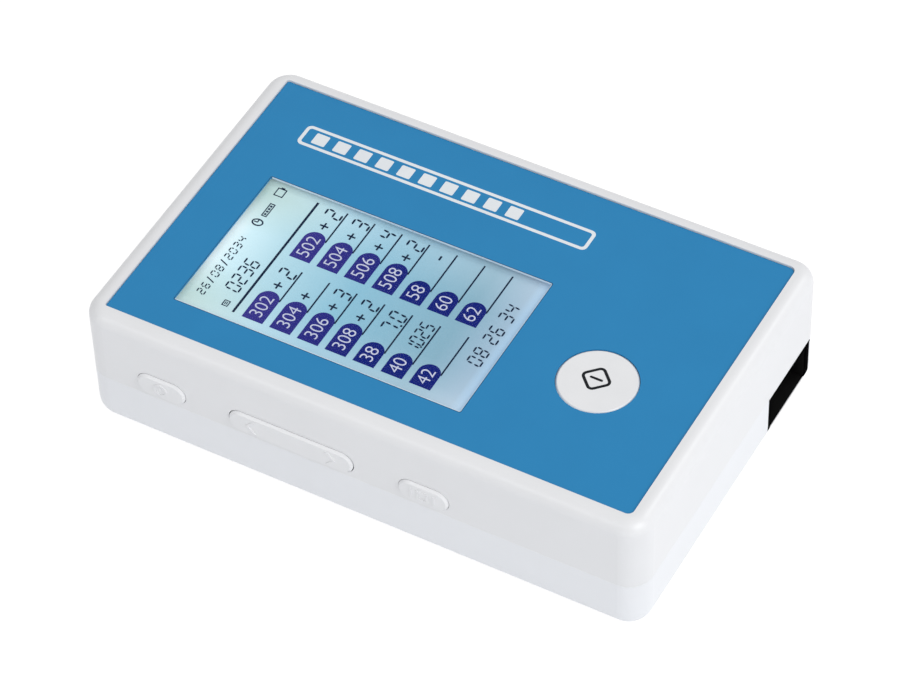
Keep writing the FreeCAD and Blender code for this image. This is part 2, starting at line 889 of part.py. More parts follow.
def board_screws():
    return Part.makeCompound([screw_up(x, y, board_under_z, small_head_radius, small_head_height,
                                       small_shank_radius, board_thickness + board_thread)
                              for x, y in board_boss_places])


# Battery

def battery_cell():
    low = floor_z + pad_thickness
    cell = centred_block(cell_x, cell_y, cell_length, cell_width, low, low + cell_height, cell_round)
    return cell.makeChamfer(cell_bevel, level_edges(cell, low + cell_height))


def battery_pad():
    return centred_box(cell_x, cell_y, cell_length - 2 * pad_inset, cell_width - 2 * pad_inset,
                       floor_z, floor_z + pad_thickness)


# Tray guide and tray

def tray_guide():
    reach = guide_width / 2
    inside = channel_width / 2
    guide = box(-guide_back, half_length, port_y - reach, port_y + reach, floor_z, guide_top_z)
    far_edge = [edge for edge in level_edges(guide, floor_z)
                if edge.BoundBox.YMin > port_y + reach - touch]
    guide = guide.makeChamfer(guide_chamfer, far_edge)
    guide = guide.cut(box(-guide_back + guide_wall, half_length + overrun, port_y - inside,
                          port_y + inside, channel_floor_z, guide_top_z + overrun))
    rib_low = tray_top_z + tray_rib_gap
    for side in (-1, 1):
        wall_y = port_y + side * (inside + guide_wall / 2)
        rib_y = port_y + side * (inside - guide_rib_width)
        guide = guide.fuse(box(-guide_back, half_length - guide_mouth, min(wall_y, rib_y),
                               max(wall_y, rib_y), rib_low, rib_low + guide_rib_thickness))
    for x, y in tab_places:
        low = floor_z + tab_lift
        tab = post(x, y, tab_radius, low, low + tab_thickness)
        bridge = box(x - tab_radius, x + tab_radius, y, guide_near_y + guide_wall / 2,
                     low, low + tab_thickness)
        hole = post(x, y, small_shank_radius + shank_clearance, low - overrun,
                    low + tab_thickness + overrun)
        guide = guide.fuse(tab).fuse(bridge).cut(hole)
    for x, y in head_ear_places:
        pillar = post(x, y, head_ear_radius, floor_z, guide_top_z)
        web = box(x - head_ear_radius / 2, x + head_ear_radius / 2, y,
                  guide_near_y + guide_wall / 2, floor_z, guide_top_z)
        hole = post(x, y, small_shank_radius + screw_clearance,
                    guide_top_z - head_thread, guide_top_z + overrun)
        guide = guide.fuse(pillar).fuse(web).cut(hole)
    tip_radius = gear_pitch_radius + addendum
    chord = math.sqrt(tip_radius ** 2 - (guide_near_y - gear_y) ** 2) + slot_margin
    guide = guide.cut(box(gear_x - chord, gear_x + chord, guide_near_y - overrun,
                          guide_near_y + guide_wall + overrun / 2, channel_floor_z,
                          gear_high_z + slot_margin))
    back_hole = Part.makeCylinder(home_plunger_radius + home_hole_clearance,
                                  guide_wall + 2 * overrun,
                                  Vec(-guide_back - overrun, home_y, floor_z + home_plunger_rise),
                                  Vec(1, 0, 0))
    guide = guide.cut(back_hole)
    limit = housing_block(guide_recess, bottom_z + guide_recess, top_z)
    limit = limit.makeFillet(bottom_round - guide_recess,
                             level_edges(limit, bottom_z + guide_recess))
    return guide.common(limit)


def rack_teeth():
    """Teeth along the tray's near rail, one space centred on the drive gear."""
    slope = math.tan(math.radians(pressure_angle))
    half_tooth = (tooth_pitch - backlash) / 4
    tip_half = half_tooth - addendum * slope
    root_half = half_tooth + dedendum * slope
    root_y = rack_pitch_y + dedendum
    first = math.ceil((-tray_back + root_half - gear_x) / tooth_pitch - 1 / 2)
    last = math.floor((tray_front - tray_nose_round - root_half - gear_x) / tooth_pitch - 1 / 2)
    points = [Vec(-tray_back, root_y, 0)]
    for index in range(first, last + 1):
        middle = gear_x + (index + 1 / 2) * tooth_pitch
        points.append(Vec(middle - root_half, root_y, 0))
        points.append(Vec(middle - tip_half, rack_tip_y, 0))
        points.append(Vec(middle + tip_half, rack_tip_y, 0))
        points.append(Vec(middle + root_half, root_y, 0))
    end_x = tray_front - tray_nose_round
    back_y = rack_tip_y + tray_rail
    points += [Vec(end_x, root_y, 0), Vec(end_x, back_y, 0), Vec(-tray_back, back_y, 0)]
    points.append(points[0])
    teeth = Part.Face(Part.makePolygon(points)).extrude(Vec(0, 0, tray_height - tray_plate))
    teeth.translate(Vec(0, 0, tray_low_z))
    return teeth


def strip_tray():
    reach = tray_width / 2
    plate_low = tray_top_z - tray_plate
    tray = rounded_block(-tray_back, tray_front, port_y - reach, port_y + reach,
                         plate_low, tray_top_z,
                         [tray_nose_round, groove_depth, groove_depth, tray_nose_round])
    far_rail = box(-tray_back, tray_front - tray_nose_round, port_y + reach - guide_wall,
                   port_y + reach, tray_low_z, plate_low)
    nose = box(tray_front - tray_nose_round - guide_wall, tray_front - tray_nose_round,
               rack_tip_y + tray_rail - guide_wall, port_y + reach, tray_low_z, plate_low)
    tray = tray.fuse(rack_teeth()).fuse(far_rail).fuse(nose)
    groove = centred_block((tray_front - groove_back) / 2, port_y, tray_front + groove_back,
                           groove_width, tray_top_z - groove_depth, tray_top_z + overrun,
                           groove_depth)
    gutter = centred_block((gutter_front - groove_back) / 2, port_y, gutter_front + groove_back,
                           gutter_width, tray_top_z - gutter_depth, tray_top_z + overrun,
                           groove_width / 2)
    thumb = post(tray_front + notch_radius / 2, port_y, notch_radius,
                 tray_low_z - overrun, tray_top_z + overrun)
    pocket = centred_box(tile_x, port_y, tile_length + 2 * tile_clearance,
                         tile_width + 2 * tile_clearance, tray_top_z - tile_thickness,
                         tray_top_z + overrun)
    return tray.cut(groove).cut(gutter).cut(thumb).cut(pocket)


def calibration_tile():
    return centred_box(tile_x, port_y, tile_length, tile_width, tray_top_z - tile_thickness,
                       tray_top_z)


def guide_screws():
    seat = floor_z + tab_lift + tab_thickness
    return Part.makeCompound([screw_down(x, y, seat, small_head_radius, small_head_height,
                                         small_shank_radius, tab_thickness + tab_thread - overrun / 2)
                              for x, y in tab_places])


def home_switch():
    front = -guide_back - home_gap
    body = box(front - home_length, front, home_y - home_width / 2, home_y + home_width / 2,
               floor_z, floor_z + home_height)
    tip = -tray_back - home_plunger_gap
    plunger = Part.makeCylinder(home_plunger_radius, tip - front + overrun,
                                Vec(front - overrun, home_y, floor_z + home_plunger_rise),
                                Vec(1, 0, 0))
    return body.fuse(plunger)


# Drive

def gear_wheel(x, y, teeth, first_angle, z_lo, z_hi):
    """Spur gear with involute flanks and one tooth centred on first_angle."""
    pitch = teeth * gear_module / 2
    base = pitch * math.cos(math.radians(pressure_angle))
    tip = pitch + addendum
    root = pitch - dedendum
    spread = math.tan(math.radians(pressure_angle)) - math.radians(pressure_angle)
    half_angle = math.pi / (2 * teeth) - backlash / (4 * pitch)
    low = max(base, root)
    radii = [low + (tip - low) * step / 3 for step in range(4)]
    flank = [(root, half_angle + spread)]
    for radius in radii:
        turn = math.acos(min(1, base / radius))
        flank.append((radius, half_angle + spread - (math.tan(turn) - turn)))
    points = []
    for index in range(teeth):
        middle = math.radians(first_angle) + index * 2 * math.pi / teeth
        for radius, angle in flank:
            points.append(Vec(x + radius * math.cos(middle - angle),
                              y + radius * math.sin(middle - angle), z_lo))
        for radius, angle in reversed(flank):
            points.append(Vec(x + radius * math.cos(middle + angle),
                              y + radius * math.sin(middle + angle), z_lo))
    points.append(points[0])
    return Part.Face(Part.makePolygon(points)).extrude(Vec(0, 0, z_hi - z_lo))


def drive_gear():
    wheel = gear_wheel(gear_x, gear_y, gear_teeth, 90, gear_low_z, gear_high_z)
    hub_low = floor_z + gear_seat_height + clip_gap
    wheel = wheel.fuse(post(gear_x, gear_y, gear_hub_radius, hub_low, hub_low + gear_hub_height))
    return wheel.cut(post(gear_x, gear_y, axle_radius + axle_clearance, hub_low - overrun,
                          hub_low + gear_hub_height + overrun))


def gear_axle():
    return post(gear_x, gear_y, axle_radius, floor_z, plate_top_z + axle_stand)


def axle_clip():
    low = plate_top_z + clip_gap
    clip = post(gear_x, gear_y, clip_radius, low, low + clip_thickness)
    clip = clip.cut(post(gear_x, gear_y, axle_radius, low - overrun, low + overrun))
    gap = axle_radius / 2
    return clip.cut(box(gear_x - gap, gear_x + gap, gear_y, gear_y + clip_radius + overrun,
                        low - overrun, low + overrun))


def motor_pinion():
    top = gear_high_z + pinion_extra
    wheel = gear_wheel(pinion_x, pinion_y, pinion_teeth, mesh_angle + 180, gear_low_z, top)
    return wheel.cut(post(pinion_x, pinion_y, shaft_radius + pinion_clearance,
                          gear_low_z - overrun, top + overrun))


def motor_shaft():
    return post(pinion_x, pinion_y, shaft_radius, floor_z + shaft_low_gap,
                plate_top_z + shaft_inside)


def drive_motor():
    can = post(pinion_x, pinion_y, motor_radius, plate_top_z, plate_top_z + motor_height)
    can = can.makeChamfer(motor_bevel, level_edges(can, plate_top_z + motor_height))
    can = can.fuse(post(pinion_x, pinion_y, motor_nose_radius, plate_low_z, plate_top_z + overrun))
    plug_x = pinion_x - motor_radius - motor_plug_reach
    plug = box(plug_x, pinion_x, pinion_y - motor_plug_width / 2, pinion_y + motor_plug_width / 2,
               plate_top_z + motor_plug_height, plate_top_z + 2 * motor_plug_height)
    return can.fuse(plug).cut(post(pinion_x, pinion_y, shaft_radius + shaft_running,
                                   plate_low_z - overrun, plate_top_z + shaft_inside + overrun))


def drive_plate():
    plate = rounded_block(plate_back_x, plate_front_x, plate_near_y, guide_near_y - plate_gap,
                          plate_low_z, plate_top_z, [plate_round] * 4)
    holes = [(pinion_x, pinion_y, motor_nose_radius + screw_clearance),
             (gear_x, gear_y, axle_radius + screw_clearance)]
    holes += [(x, y, small_shank_radius + shank_clearance) for x, y in post_places]
    for x, y, radius in holes:
        plate = plate.cut(post(x, y, radius, plate_low_z - overrun, plate_top_z + overrun))
    return plate


def plate_screws():
    return Part.makeCompound([screw_down(x, y, plate_top_z, small_head_radius, small_head_height,
                                         small_shank_radius, plate_thickness + post_thread - overrun)
                              for x, y in post_places])


# Optical head

def led_way(side):
    """Direction from the point that is read up to one lamp."""
    angle = math.radians(led_angle)
    return Vec(0, side * math.sin(angle), math.cos(angle))


def optical_head():
    reach = guide_width / 2
    head = rounded_block(head_back, head_front, port_y - reach, port_y + reach,
                         guide_top_z, head_top_z, [head_round] * 4)
    for x, y in head_ear_places:
        ear_top = guide_top_z + head_ear_thickness
        head = head.fuse(post(x, y, head_ear_radius, guide_top_z, ear_top))
        head = head.fuse(box(x - head_ear_radius, x + head_ear_radius, y, port_y - reach / 2,
                             guide_top_z, ear_top))
    chamber_top = guide_top_z + chamber_height
    head = head.cut(Part.makeCone(chamber_low_radius, chamber_high_radius, chamber_height,
                                  Vec(head_x, port_y, guide_top_z)))
    head = head.cut(post(head_x, port_y, lens_radius + lens_clearance, chamber_top,
                         head_top_z + overrun))
    focus = Vec(head_x, port_y, guide_top_z)
    for side in (-1, 1):
        head = head.cut(Part.makeCylinder(led_radius + led_clearance, led_bore,
                                          focus + led_way(side) * led_distance, led_way(side)))
    for x, y in head_ear_places:
        head = head.cut(post(x, y, small_shank_radius + shank_clearance, guide_top_z - overrun,
                             guide_top_z + head_ear_thickness + overrun))
        head = head.cut(post(x, y, small_head_radius + shank_clearance,
                             guide_top_z + head_ear_thickness, head_top_z + overrun))
    return head


def sensor_lens():
    low = guide_top_z + chamber_height
    lens = post(head_x, port_y, lens_radius, low, low + lens_thickness)
    return lens.makeChamfer(lens_bevel, level_edges(lens, low))


def colour_sensor():
    return centred_box(head_x, port_y, sensor_size, sensor_size, head_top_z - sensor_height,
                       head_top_z)


def sensor_board():
    return rounded_block(head_back + sensor_board_inset, head_front - sensor_board_inset,
                         port_y - guide_width / 2 + sensor_board_inset,
                         port_y + guide_width / 2 - sensor_board_inset,
                         head_top_z, sensor_board_top_z, [head_round] * 4)


def illumination_leds():
    focus = Vec(head_x, port_y, guide_top_z)
    lamps = []
    for side in (-1, 1):
        way = led_way(side)
        start = focus + way * (led_distance + led_tip)
        body = Part.makeCylinder(led_radius, led_length - led_tip, start, way)
        tip = Part.makeCone(led_radius - led_tip, led_radius, led_tip, start - way * led_tip, way)
        lamps.append(body.fuse(tip))
    return Part.makeCompound(lamps)


def head_screws():
    seat = guide_top_z + head_ear_thickness
    return Part.makeCompound([screw_down(x, y, seat, small_head_radius, small_head_height,
                                         small_shank_radius, head_ear_thickness + head_thread - overrun)
                              for x, y in head_ear_places])


# Ribbon

def ribbon_plug_edge():
    return board_far - ribbon_plug_inset


def sensor_ribbon():
    """Flat cable: over the sensor board, down past its edge and into the plug."""
    half = ribbon_thickness / 2
    high = sensor_board_top_z + half
    low = board_top_z + ribbon_plug_entry
    start_y = port_y - guide_width / 2 + sensor_board_inset + ribbon_overlap
    drop_y = guide_near_y - ribbon_drop_gap + half
    end_y = ribbon_plug_edge()
    bend = min(ribbon_bend, (drop_y - end_y) / 2, (high - low) / 2)
    x = ribbon_x - ribbon_width / 2
    top_y = drop_y + bend
    low_y = drop_y - bend
    ribbon = box(x, x + ribbon_width, top_y, start_y, high - half, high + half)
    ribbon = ribbon.fuse(quarter_band(x, top_y, high - bend, bend - half, bend + half, -1, 1))
    ribbon = ribbon.fuse(box(x, x + ribbon_width, drop_y - half, drop_y + half,
                             low + bend, high - bend))
    ribbon = ribbon.fuse(quarter_band(x, low_y, low + bend, bend - half, bend + half, 1, -1))
    ribbon = ribbon.fuse(box(x, x + ribbon_width, end_y, low_y, low - half, low + half))
    return ribbon.removeSplitter()


def quarter_band(x, centre_y, centre_z, inner, outer, side_y, side_z):
    """A quarter turn of the ribbon about a line along X."""
    inner_turn = inner * math.cos(math.radians(45))
    outer_turn = outer * math.cos(math.radians(45))
    points = [Vec(x, centre_y, centre_z + side_z * outer),
              Vec(x, centre_y + side_y * outer_turn, centre_z + side_z * outer_turn),
              Vec(x, centre_y + side_y * outer, centre_z),
              Vec(x, centre_y + side_y * inner, centre_z),
              Vec(x, centre_y + side_y * inner_turn, centre_z + side_z * inner_turn),
              Vec(x, centre_y, centre_z + side_z * inner)]
    edges = [Part.Arc(points[0], points[1], points[2]).toShape(),
             Part.LineSegment(points[2], points[3]).toShape(),
             Part.Arc(points[3], points[4], points[5]).toShape(),
             Part.LineSegment(points[5], points[0]).toShape()]
    return Part.Face(Part.Wire(edges)).extrude(Vec(ribbon_width, 0, 0))


def ribbon_connector():
    edge = ribbon_plug_edge()
    return box(ribbon_x - ribbon_plug_width / 2, ribbon_x + ribbon_plug_width / 2,
               edge - ribbon_plug_length, edge, board_top_z, board_top_z + ribbon_plug_height)


NODES = {
    "upper_shell": upper_shell,
    "lower_shell": lower_shell,
    "panel_overlay": panel_overlay,
    "display_window": display_window,
    "lcd_glass": lcd_glass,
    "lcd_backlight": lcd_backlight,
    "lcd_frame": lcd_frame,
    "lcd_contact_strips": lcd_contact_strips,
    "start_button": start_button,
    "start_switch": start_switch,
    "left_key": left_key,
    "rocker_key": rocker_key,
    "right_key": right_key,
    "rocker_fulcrum": rocker_fulcrum,
    "key_switches": key_switches,
    "main_board": main_board,
    "board_chips": board_chips,
    "radio_module": radio_module,
    "buzzer": buzzer,
    "battery_connector": battery_connector,
    "usb_socket": usb_socket,
    "battery_cell": battery_cell,
    "battery_pad": battery_pad,
    "tray_guide": tray_guide,
    "strip_tray": strip_tray,
    "calibration_tile": calibration_tile,
    "home_switch": home_switch,
    "drive_gear": drive_gear,
    "gear_axle": gear_axle,
    "axle_clip": axle_clip,
    "motor_pinion": motor_pinion,
    "motor_shaft": motor_shaft,
    "drive_motor": drive_motor,
    "drive_plate": drive_plate,
    "optical_head": optical_head,
    "sensor_lens": sensor_lens,
    "colour_sensor": colour_sensor,
    "sensor_board": sensor_board,
    "illumination_leds": illumination_leds,
    "sensor_ribbon": sensor_ribbon,
    "ribbon_connector": ribbon_connector,
    "case_screws": case_screws,
    "board_screws": board_screws,
    "guide_screws": guide_screws,
    "plate_screws": plate_screws,
    "head_screws": head_screws,
    "rubber_feet": rubber_feet,
}


os.makedirs("parts", exist_ok=True)
for name, make in NODES.items():
    shape = make()
    # The keys stand proud of one side only, so everything moves by half of that
    # to keep the origin under the middle of the whole object.
    shape.translate(Vec(0, key_proud / 2, 0))
    shape.exportStep("parts/" + name + ".step")
    size = shape.BoundBox
    print(f"{name}: {len(shape.Solids)} solids, valid {shape.isValid()}, volume {shape.Volume:.1f}, "
          f"x {size.XMin:.2f} {size.XMax:.2f} y {size.YMin:.2f} {size.YMax:.2f} "
          f"z {size.ZMin:.2f} {size.ZMax:.2f}")
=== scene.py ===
# %% [markdown]
# A hand-held strip analyzer: a flat white box, about as long as a hand, with a blue label, a
# display, a round start button, three keys in its long side and a dark port in its end. Its solids
# come from a CAD model and never change here. This lesson gives them their surfaces, and adds the
# thin things that CAD leaves out: the print of the display, the marks on the label and the keys,
# painted shade at the mouth of the port, the cross recesses of the screws and the contacts of the
# socket. Some surfaces and pieces carry painted light and shade.

# %% Load the imported solids
from math import cos, pi, radians, sin, sqrt

import bmesh
import bpy
from mathutils import Matrix, Vector


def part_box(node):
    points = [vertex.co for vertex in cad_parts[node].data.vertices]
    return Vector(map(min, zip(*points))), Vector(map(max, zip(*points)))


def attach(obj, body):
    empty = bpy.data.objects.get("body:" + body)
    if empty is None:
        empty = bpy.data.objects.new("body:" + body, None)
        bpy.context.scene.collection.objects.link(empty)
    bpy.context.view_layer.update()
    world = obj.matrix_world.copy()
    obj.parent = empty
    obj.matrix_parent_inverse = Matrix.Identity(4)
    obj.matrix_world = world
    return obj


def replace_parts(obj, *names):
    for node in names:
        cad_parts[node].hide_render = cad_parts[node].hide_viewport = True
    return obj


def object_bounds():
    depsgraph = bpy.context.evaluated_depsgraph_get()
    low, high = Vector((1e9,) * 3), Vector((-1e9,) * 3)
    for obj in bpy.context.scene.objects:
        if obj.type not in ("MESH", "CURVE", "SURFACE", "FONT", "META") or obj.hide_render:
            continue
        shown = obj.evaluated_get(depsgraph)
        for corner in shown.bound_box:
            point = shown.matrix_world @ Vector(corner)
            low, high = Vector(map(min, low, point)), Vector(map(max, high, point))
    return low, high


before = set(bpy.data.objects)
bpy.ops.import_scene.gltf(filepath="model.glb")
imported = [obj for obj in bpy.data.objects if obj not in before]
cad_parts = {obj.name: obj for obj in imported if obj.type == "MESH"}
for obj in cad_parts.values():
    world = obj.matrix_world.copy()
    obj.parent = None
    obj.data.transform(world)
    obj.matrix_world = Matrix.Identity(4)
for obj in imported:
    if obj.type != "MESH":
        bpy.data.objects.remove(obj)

MM = 0.001
cad_box = [list(corner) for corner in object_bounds()]
print("CAD box in metres:", cad_box)

# %% [markdown]
# The camera stands where the photographer stood: over the near long side, towards the port,
# looking down by about fifty degrees from most of a metre away. Its place was worked out from
# straight edges that run along the box, so the box fills the picture at the same size and slant.
# The picture's horizon leans a little, which is the small roll.

# %% Camera
CAMERA_PLACE = Vector((282.16, -480.91, 629.29)) * MM
CAMERA_TARGET = Vector((-0.42, -0.21, 16.0)) * MM
CAMERA_ROLL = radians(-2.18)
CAMERA_LENS = 163.83
CAMERA_SENSOR = 36.0

scene = bpy.context.scene
lens = bpy.data.cameras.new("studio_camera")
lens.lens = CAMERA_LENS
lens.sensor_fit = "HORIZONTAL"
lens.sensor_width = CAMERA_SENSOR
lens.clip_start = 0.01
camera = bpy.data.objects.new("studio_camera", lens)
aim = (CAMERA_TARGET - CAMERA_PLACE).to_track_quat("-Z", "Y").to_matrix()
turn = (aim @ Matrix.Rotation(CAMERA_ROLL, 3, "Z")).to_4x4()
camera.matrix_world = Matrix.Translation(CAMERA_PLACE) @ turn
scene.collection.objects.link(camera)
scene.camera = camera
scene.view_settings.view_transform = "Standard"
print("camera looks from", [round(c, 3) for c in CAMERA_PLACE])

# %% [markdown]
# Every surface is a node material, and a few helpers keep the node trees short. One makes a
# material and hands back its main shader. One fills a node's inputs, with plain values or with the
# outputs of other nodes, and one adds a node. The rest are steps that many finishes share: map a
# value, mix two colours, reckon, add a smooth mottle, and turn a height into shading.

# %% Node helpers
def new_finish(name):
    """A new material, its node tree and its main shader."""
    finish = bpy.data.materials.new(name)
    finish.use_nodes = True
    return finish, finish.node_tree, finish.node_tree.nodes["Principled BSDF"]


def fill(node, inputs):
    """Gives each named input of a node a plain value, or joins it to another node's output."""
    for name, value in inputs.items():
        if isinstance(value, bpy.types.NodeSocket):
            node.id_data.links.new(value, node.inputs[name])
        else:
            node.inputs[name].default_value = value


def add_node(tree, kind, inputs=(), **settings):
    """Adds a node, sets its properties and fills its inputs."""
    node = tree.nodes.new(kind)
    for name, value in settings.items():
        setattr(node, name, value)
    fill(node, dict(inputs))
    return node


def place_of(tree):
    """Where a point lies on the object, in metres, as a socket."""
    return add_node(tree, "ShaderNodeTexCoord").outputs["Object"]


def spread(tree, value, low, high, from_low=0.0, from_high=1.0):
    """Maps a value from one span to another, held at the ends."""
    return add_node(tree, "ShaderNodeMapRange", {
        "Value": value, "From Min": from_low, "From Max": from_high,
        "To Min": low, "To Max": high}).outputs["Result"]


MIX_FACTOR, MIX_FIRST, MIX_SECOND, MIX_RESULT = 0, 6, 7, 2     # the mix node's colour sockets


def blend_colours(tree, factor, first, second):
    """Mixes two colours, each a plain colour or a socket."""
    mix = add_node(tree, "ShaderNodeMix", {
        MIX_FACTOR: factor, MIX_FIRST: first, MIX_SECOND: second}, data_type="RGBA")
    return mix.outputs[MIX_RESULT]


def solid(colour):
    """A colour with its fourth value."""
    return (*colour, 1.0)


def between(tree, factor, dark, light):
    """Mixes two plain colours."""
    return blend_colours(tree, factor, solid(dark), solid(light))


def reckon(tree, operation, first, second=0.0):
    """One step of arithmetic, as a socket."""
    return add_node(tree, "ShaderNodeMath", {0: first, 1: second}, operation=operation).outputs[0]


def mottle(tree, scale):
    """Smooth noise over the object, as a socket."""
    return add_node(tree, "ShaderNodeTexNoise", {
        "Vector": place_of(tree), "Scale": scale}).outputs["Fac"]


def emboss(tree, height, depth_mm):
    """Shading as if the height stood out from the surface by that depth."""
    return add_node(tree, "ShaderNodeBump", {
        "Height": height, "Strength": 1.0, "Distance": depth_mm * MM}).outputs[0]


print("node helpers ready")

# %% [markdown]
# The studio is a pale floor under a white surround. The floor looks white to the camera because
# its own colour shines at that level there, and it still shows the object's soft shadow. To every
# other ray it is a plain pale surface, a little cool, which throws light back up onto the sides of
# the box.

# %% Floor and surround
FLOOR_HALF = 2.5
FLOOR_GLOW = 0.9
FLOOR_SHADE = 0.22
AMBIENT = 0.60
FLOOR_TINT = (0.865, 0.88, 0.905)

floor_mesh = bpy.data.meshes.new("floor")
corners = [(FLOOR_HALF * a, FLOOR_HALF * b, 0.0) for a, b in ((-1, -1), (1, -1), (1, 1), (-1, 1))]
floor_mesh.from_pydata(corners, [], [(0, 1, 2, 3)])
floor = bpy.data.objects.new("floor", floor_mesh)
scene.collection.objects.link(floor)


def seen_directly(tree):
    """One for rays from the camera, a mirror or clear glass, and nought for light that bounces."""
    path = add_node(tree, "ShaderNodeLightPath").outputs
    seen = reckon(tree, "MAXIMUM", path["Is Camera Ray"], path["Is Glossy Ray"])
    return reckon(tree, "MAXIMUM", seen, path["Is Transmission Ray"])


floor_finish, tree, shader = new_finish("studio_floor")
tree.nodes.remove(shader)
glow = add_node(tree, "ShaderNodeEmission", {"Color": solid((1, 1, 1)), "Strength": FLOOR_GLOW})
veil = add_node(tree, "ShaderNodeBsdfDiffuse", {"Color": solid((FLOOR_SHADE,) * 3)})
paper = add_node(tree, "ShaderNodeBsdfDiffuse", {"Color": solid(FLOOR_TINT)})
shown = add_node(tree, "ShaderNodeAddShader", {0: glow.outputs[0], 1: veil.outputs[0]})
choose = add_node(tree, "ShaderNodeMixShader", {
    0: seen_directly(tree), 1: paper.outputs[0], 2: shown.outputs[0]})
fill(tree.nodes["Material Output"], {"Surface": choose.outputs[0]})
floor_mesh.materials.append(floor_finish)

surround = bpy.data.worlds.new("surround")
scene.world = surround
surround.use_nodes = True
tree = surround.node_tree
fill(tree.nodes["Background"], {
    "Color": solid((1, 1, 1)), "Strength": spread(tree, seen_directly(tree), AMBIENT, 1.0)})
print("floor and surround ready")

# %% [markdown]
# Three soft lamps do the rest. The main one stands on the port's side, a little to the front, so
# the end face is the brightest face, and the upright corner in front turns bright quickly. A
# smaller one in front, to the left, is mirrored in the upper edges of the keys and of the long
# side. A third one behind is mirrored in the edge over the port. Each looks at the object from
# well over a metre, so the light hardly falls off from one end of the box to the other.

# %% Lamps
LAMPS = {
    "port_side_lamp": {"place": (1.18, -0.45, 0.98), "size": 0.90, "watts": 10.1},
    "front_lamp": {"place": (-0.54, -1.20, 0.91), "size": 0.50, "watts": 2.2},
    "back_lamp": {"place": (0.77, 0.91, 1.07), "size": 0.38, "watts": 2.6},
}
for name, values in LAMPS.items():
    lamp = bpy.data.lights.new(name, "AREA")
    lamp.size = values["size"]
    lamp.energy = values["watts"]
    holder = bpy.data.objects.new(name, lamp)
    away = Vector(values["place"])
    holder.matrix_world = (Matrix.Translation(away)
                           @ (-away).to_track_quat("-Z", "Y").to_matrix().to_4x4())
    scene.collection.objects.link(holder)
print("lamps:", ", ".join(LAMPS))

# %% [markdown]
# The housing is moulded plastic. Its skin isn't one flat white: the colour drifts a little over
# the length of the box, the gloss drifts with it, and the mould's fine spark-eroded grain breaks
# up the highlights. Noise textures at two scales give all three, and the fine one feeds a bump.
# The lower shell is a touch lighter and cooler. This is painted light, for the light that the pale
# floor throws up onto it. The same helper serves every moulded or machined surface, with other
# colours and scales.

# %% Moulded surfaces
NOISE_LOW, NOISE_HIGH = 0.3, 0.7       # nearly all of a noise lies between these
PLAIN_MIRROR = 0.5


def grained(name, dark, light, rough, drift_mm, grain_mm, depth_mm,
            metal=0.0, stretch=(1, 1, 1), mirror=PLAIN_MIRROR):
    """A surface whose colour and gloss drift slowly and whose grain is a fine bump."""
    finish, tree, shader = new_finish(name)
    place = add_node(tree, "ShaderNodeMapping", {
        "Vector": place_of(tree), "Scale": stretch}).outputs[0]
    drift = add_node(tree, "ShaderNodeTexNoise", {
        "Vector": place, "Scale": 1 / (drift_mm * MM), "Detail": 3.0}).outputs["Fac"]
    grain = add_node(tree, "ShaderNodeTexNoise", {
        "Vector": place, "Scale": 1 / (grain_mm * MM), "Detail": 2.0}).outputs["Fac"]
    shade = spread(tree, drift, 0, 1, NOISE_LOW, NOISE_HIGH)
    fill(shader, {"Base Color": between(tree, shade, dark, light),
                  "Roughness": spread(tree, drift, *rough, NOISE_LOW, NOISE_HIGH),
                  "Normal": emboss(tree, grain, depth_mm),
                  "Metallic": metal, "Specular IOR Level": mirror})
    return finish


def dress(finish, *names):
    """Gives the CAD nodes with these names a finish."""
    for name in names:
        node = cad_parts[name]
        if not node.material_slots:
            node.data.materials.append(finish)
        for place in node.material_slots:
            place.material = finish
    print(finish.name, "on", ", ".join(names))


casing = grained("casing_plastic", (0.776, 0.782, 0.800), (0.796, 0.802, 0.820),
                 (0.30, 0.36), drift_mm=18, grain_mm=0.35, depth_mm=0.004)
dress(casing, "upper_shell")
# Painted light: lighter and cooler than the upper shell, for the floor's bounce.
lower_shell_painted_light = grained("lower_shell_painted_floor_light", (0.800, 0.815, 0.846), (0.820, 0.835, 0.866),
                       (0.30, 0.36), drift_mm=18, grain_mm=0.35, depth_mm=0.004)
dress(lower_shell_painted_light, "lower_shell")
key_plastic = grained("key_plastic", (0.790, 0.797, 0.815), (0.812, 0.818, 0.835),
                      (0.32, 0.38), drift_mm=6, grain_mm=0.30, depth_mm=0.004)
dress(key_plastic, "start_button", "left_key", "rocker_key", "right_key")

# %% [markdown]
# The label is a printed plastic film, glued into a shallow recess. The blue ink lies under a satin
# skin, so it hardly mirrors anything, and it shows only a very fine mottle.

# %% Label film
film = grained("label_film", (0.0190, 0.220, 0.474), (0.0210, 0.228, 0.488),
               (0.46, 0.52), drift_mm=9, grain_mm=0.25, depth_mm=0.0015, mirror=0.22)
dress(film, "panel_overlay")

# %% [markdown]
# The pane over the display is clear and hardly shows, so it only has to take a little light away
# from what lies below it. A low alpha over a dark tint does that, and the lamps still light the
# display.

# %% Window pane
HAZE_SCALE, HAZE_DARK, HAZE_LIGHT = 60.0, (0.03, 0.05, 0.06), (0.06, 0.09, 0.10)
PANE_ROUGH, PANE_ALPHA = 0.06, 0.03

window, tree, shader = new_finish("window_pane")
fill(shader, {"Base Color": between(tree, mottle(tree, HAZE_SCALE), HAZE_DARK, HAZE_LIGHT),
              "Roughness": PANE_ROUGH, "Alpha": PANE_ALPHA})
dress(window, "display_window")
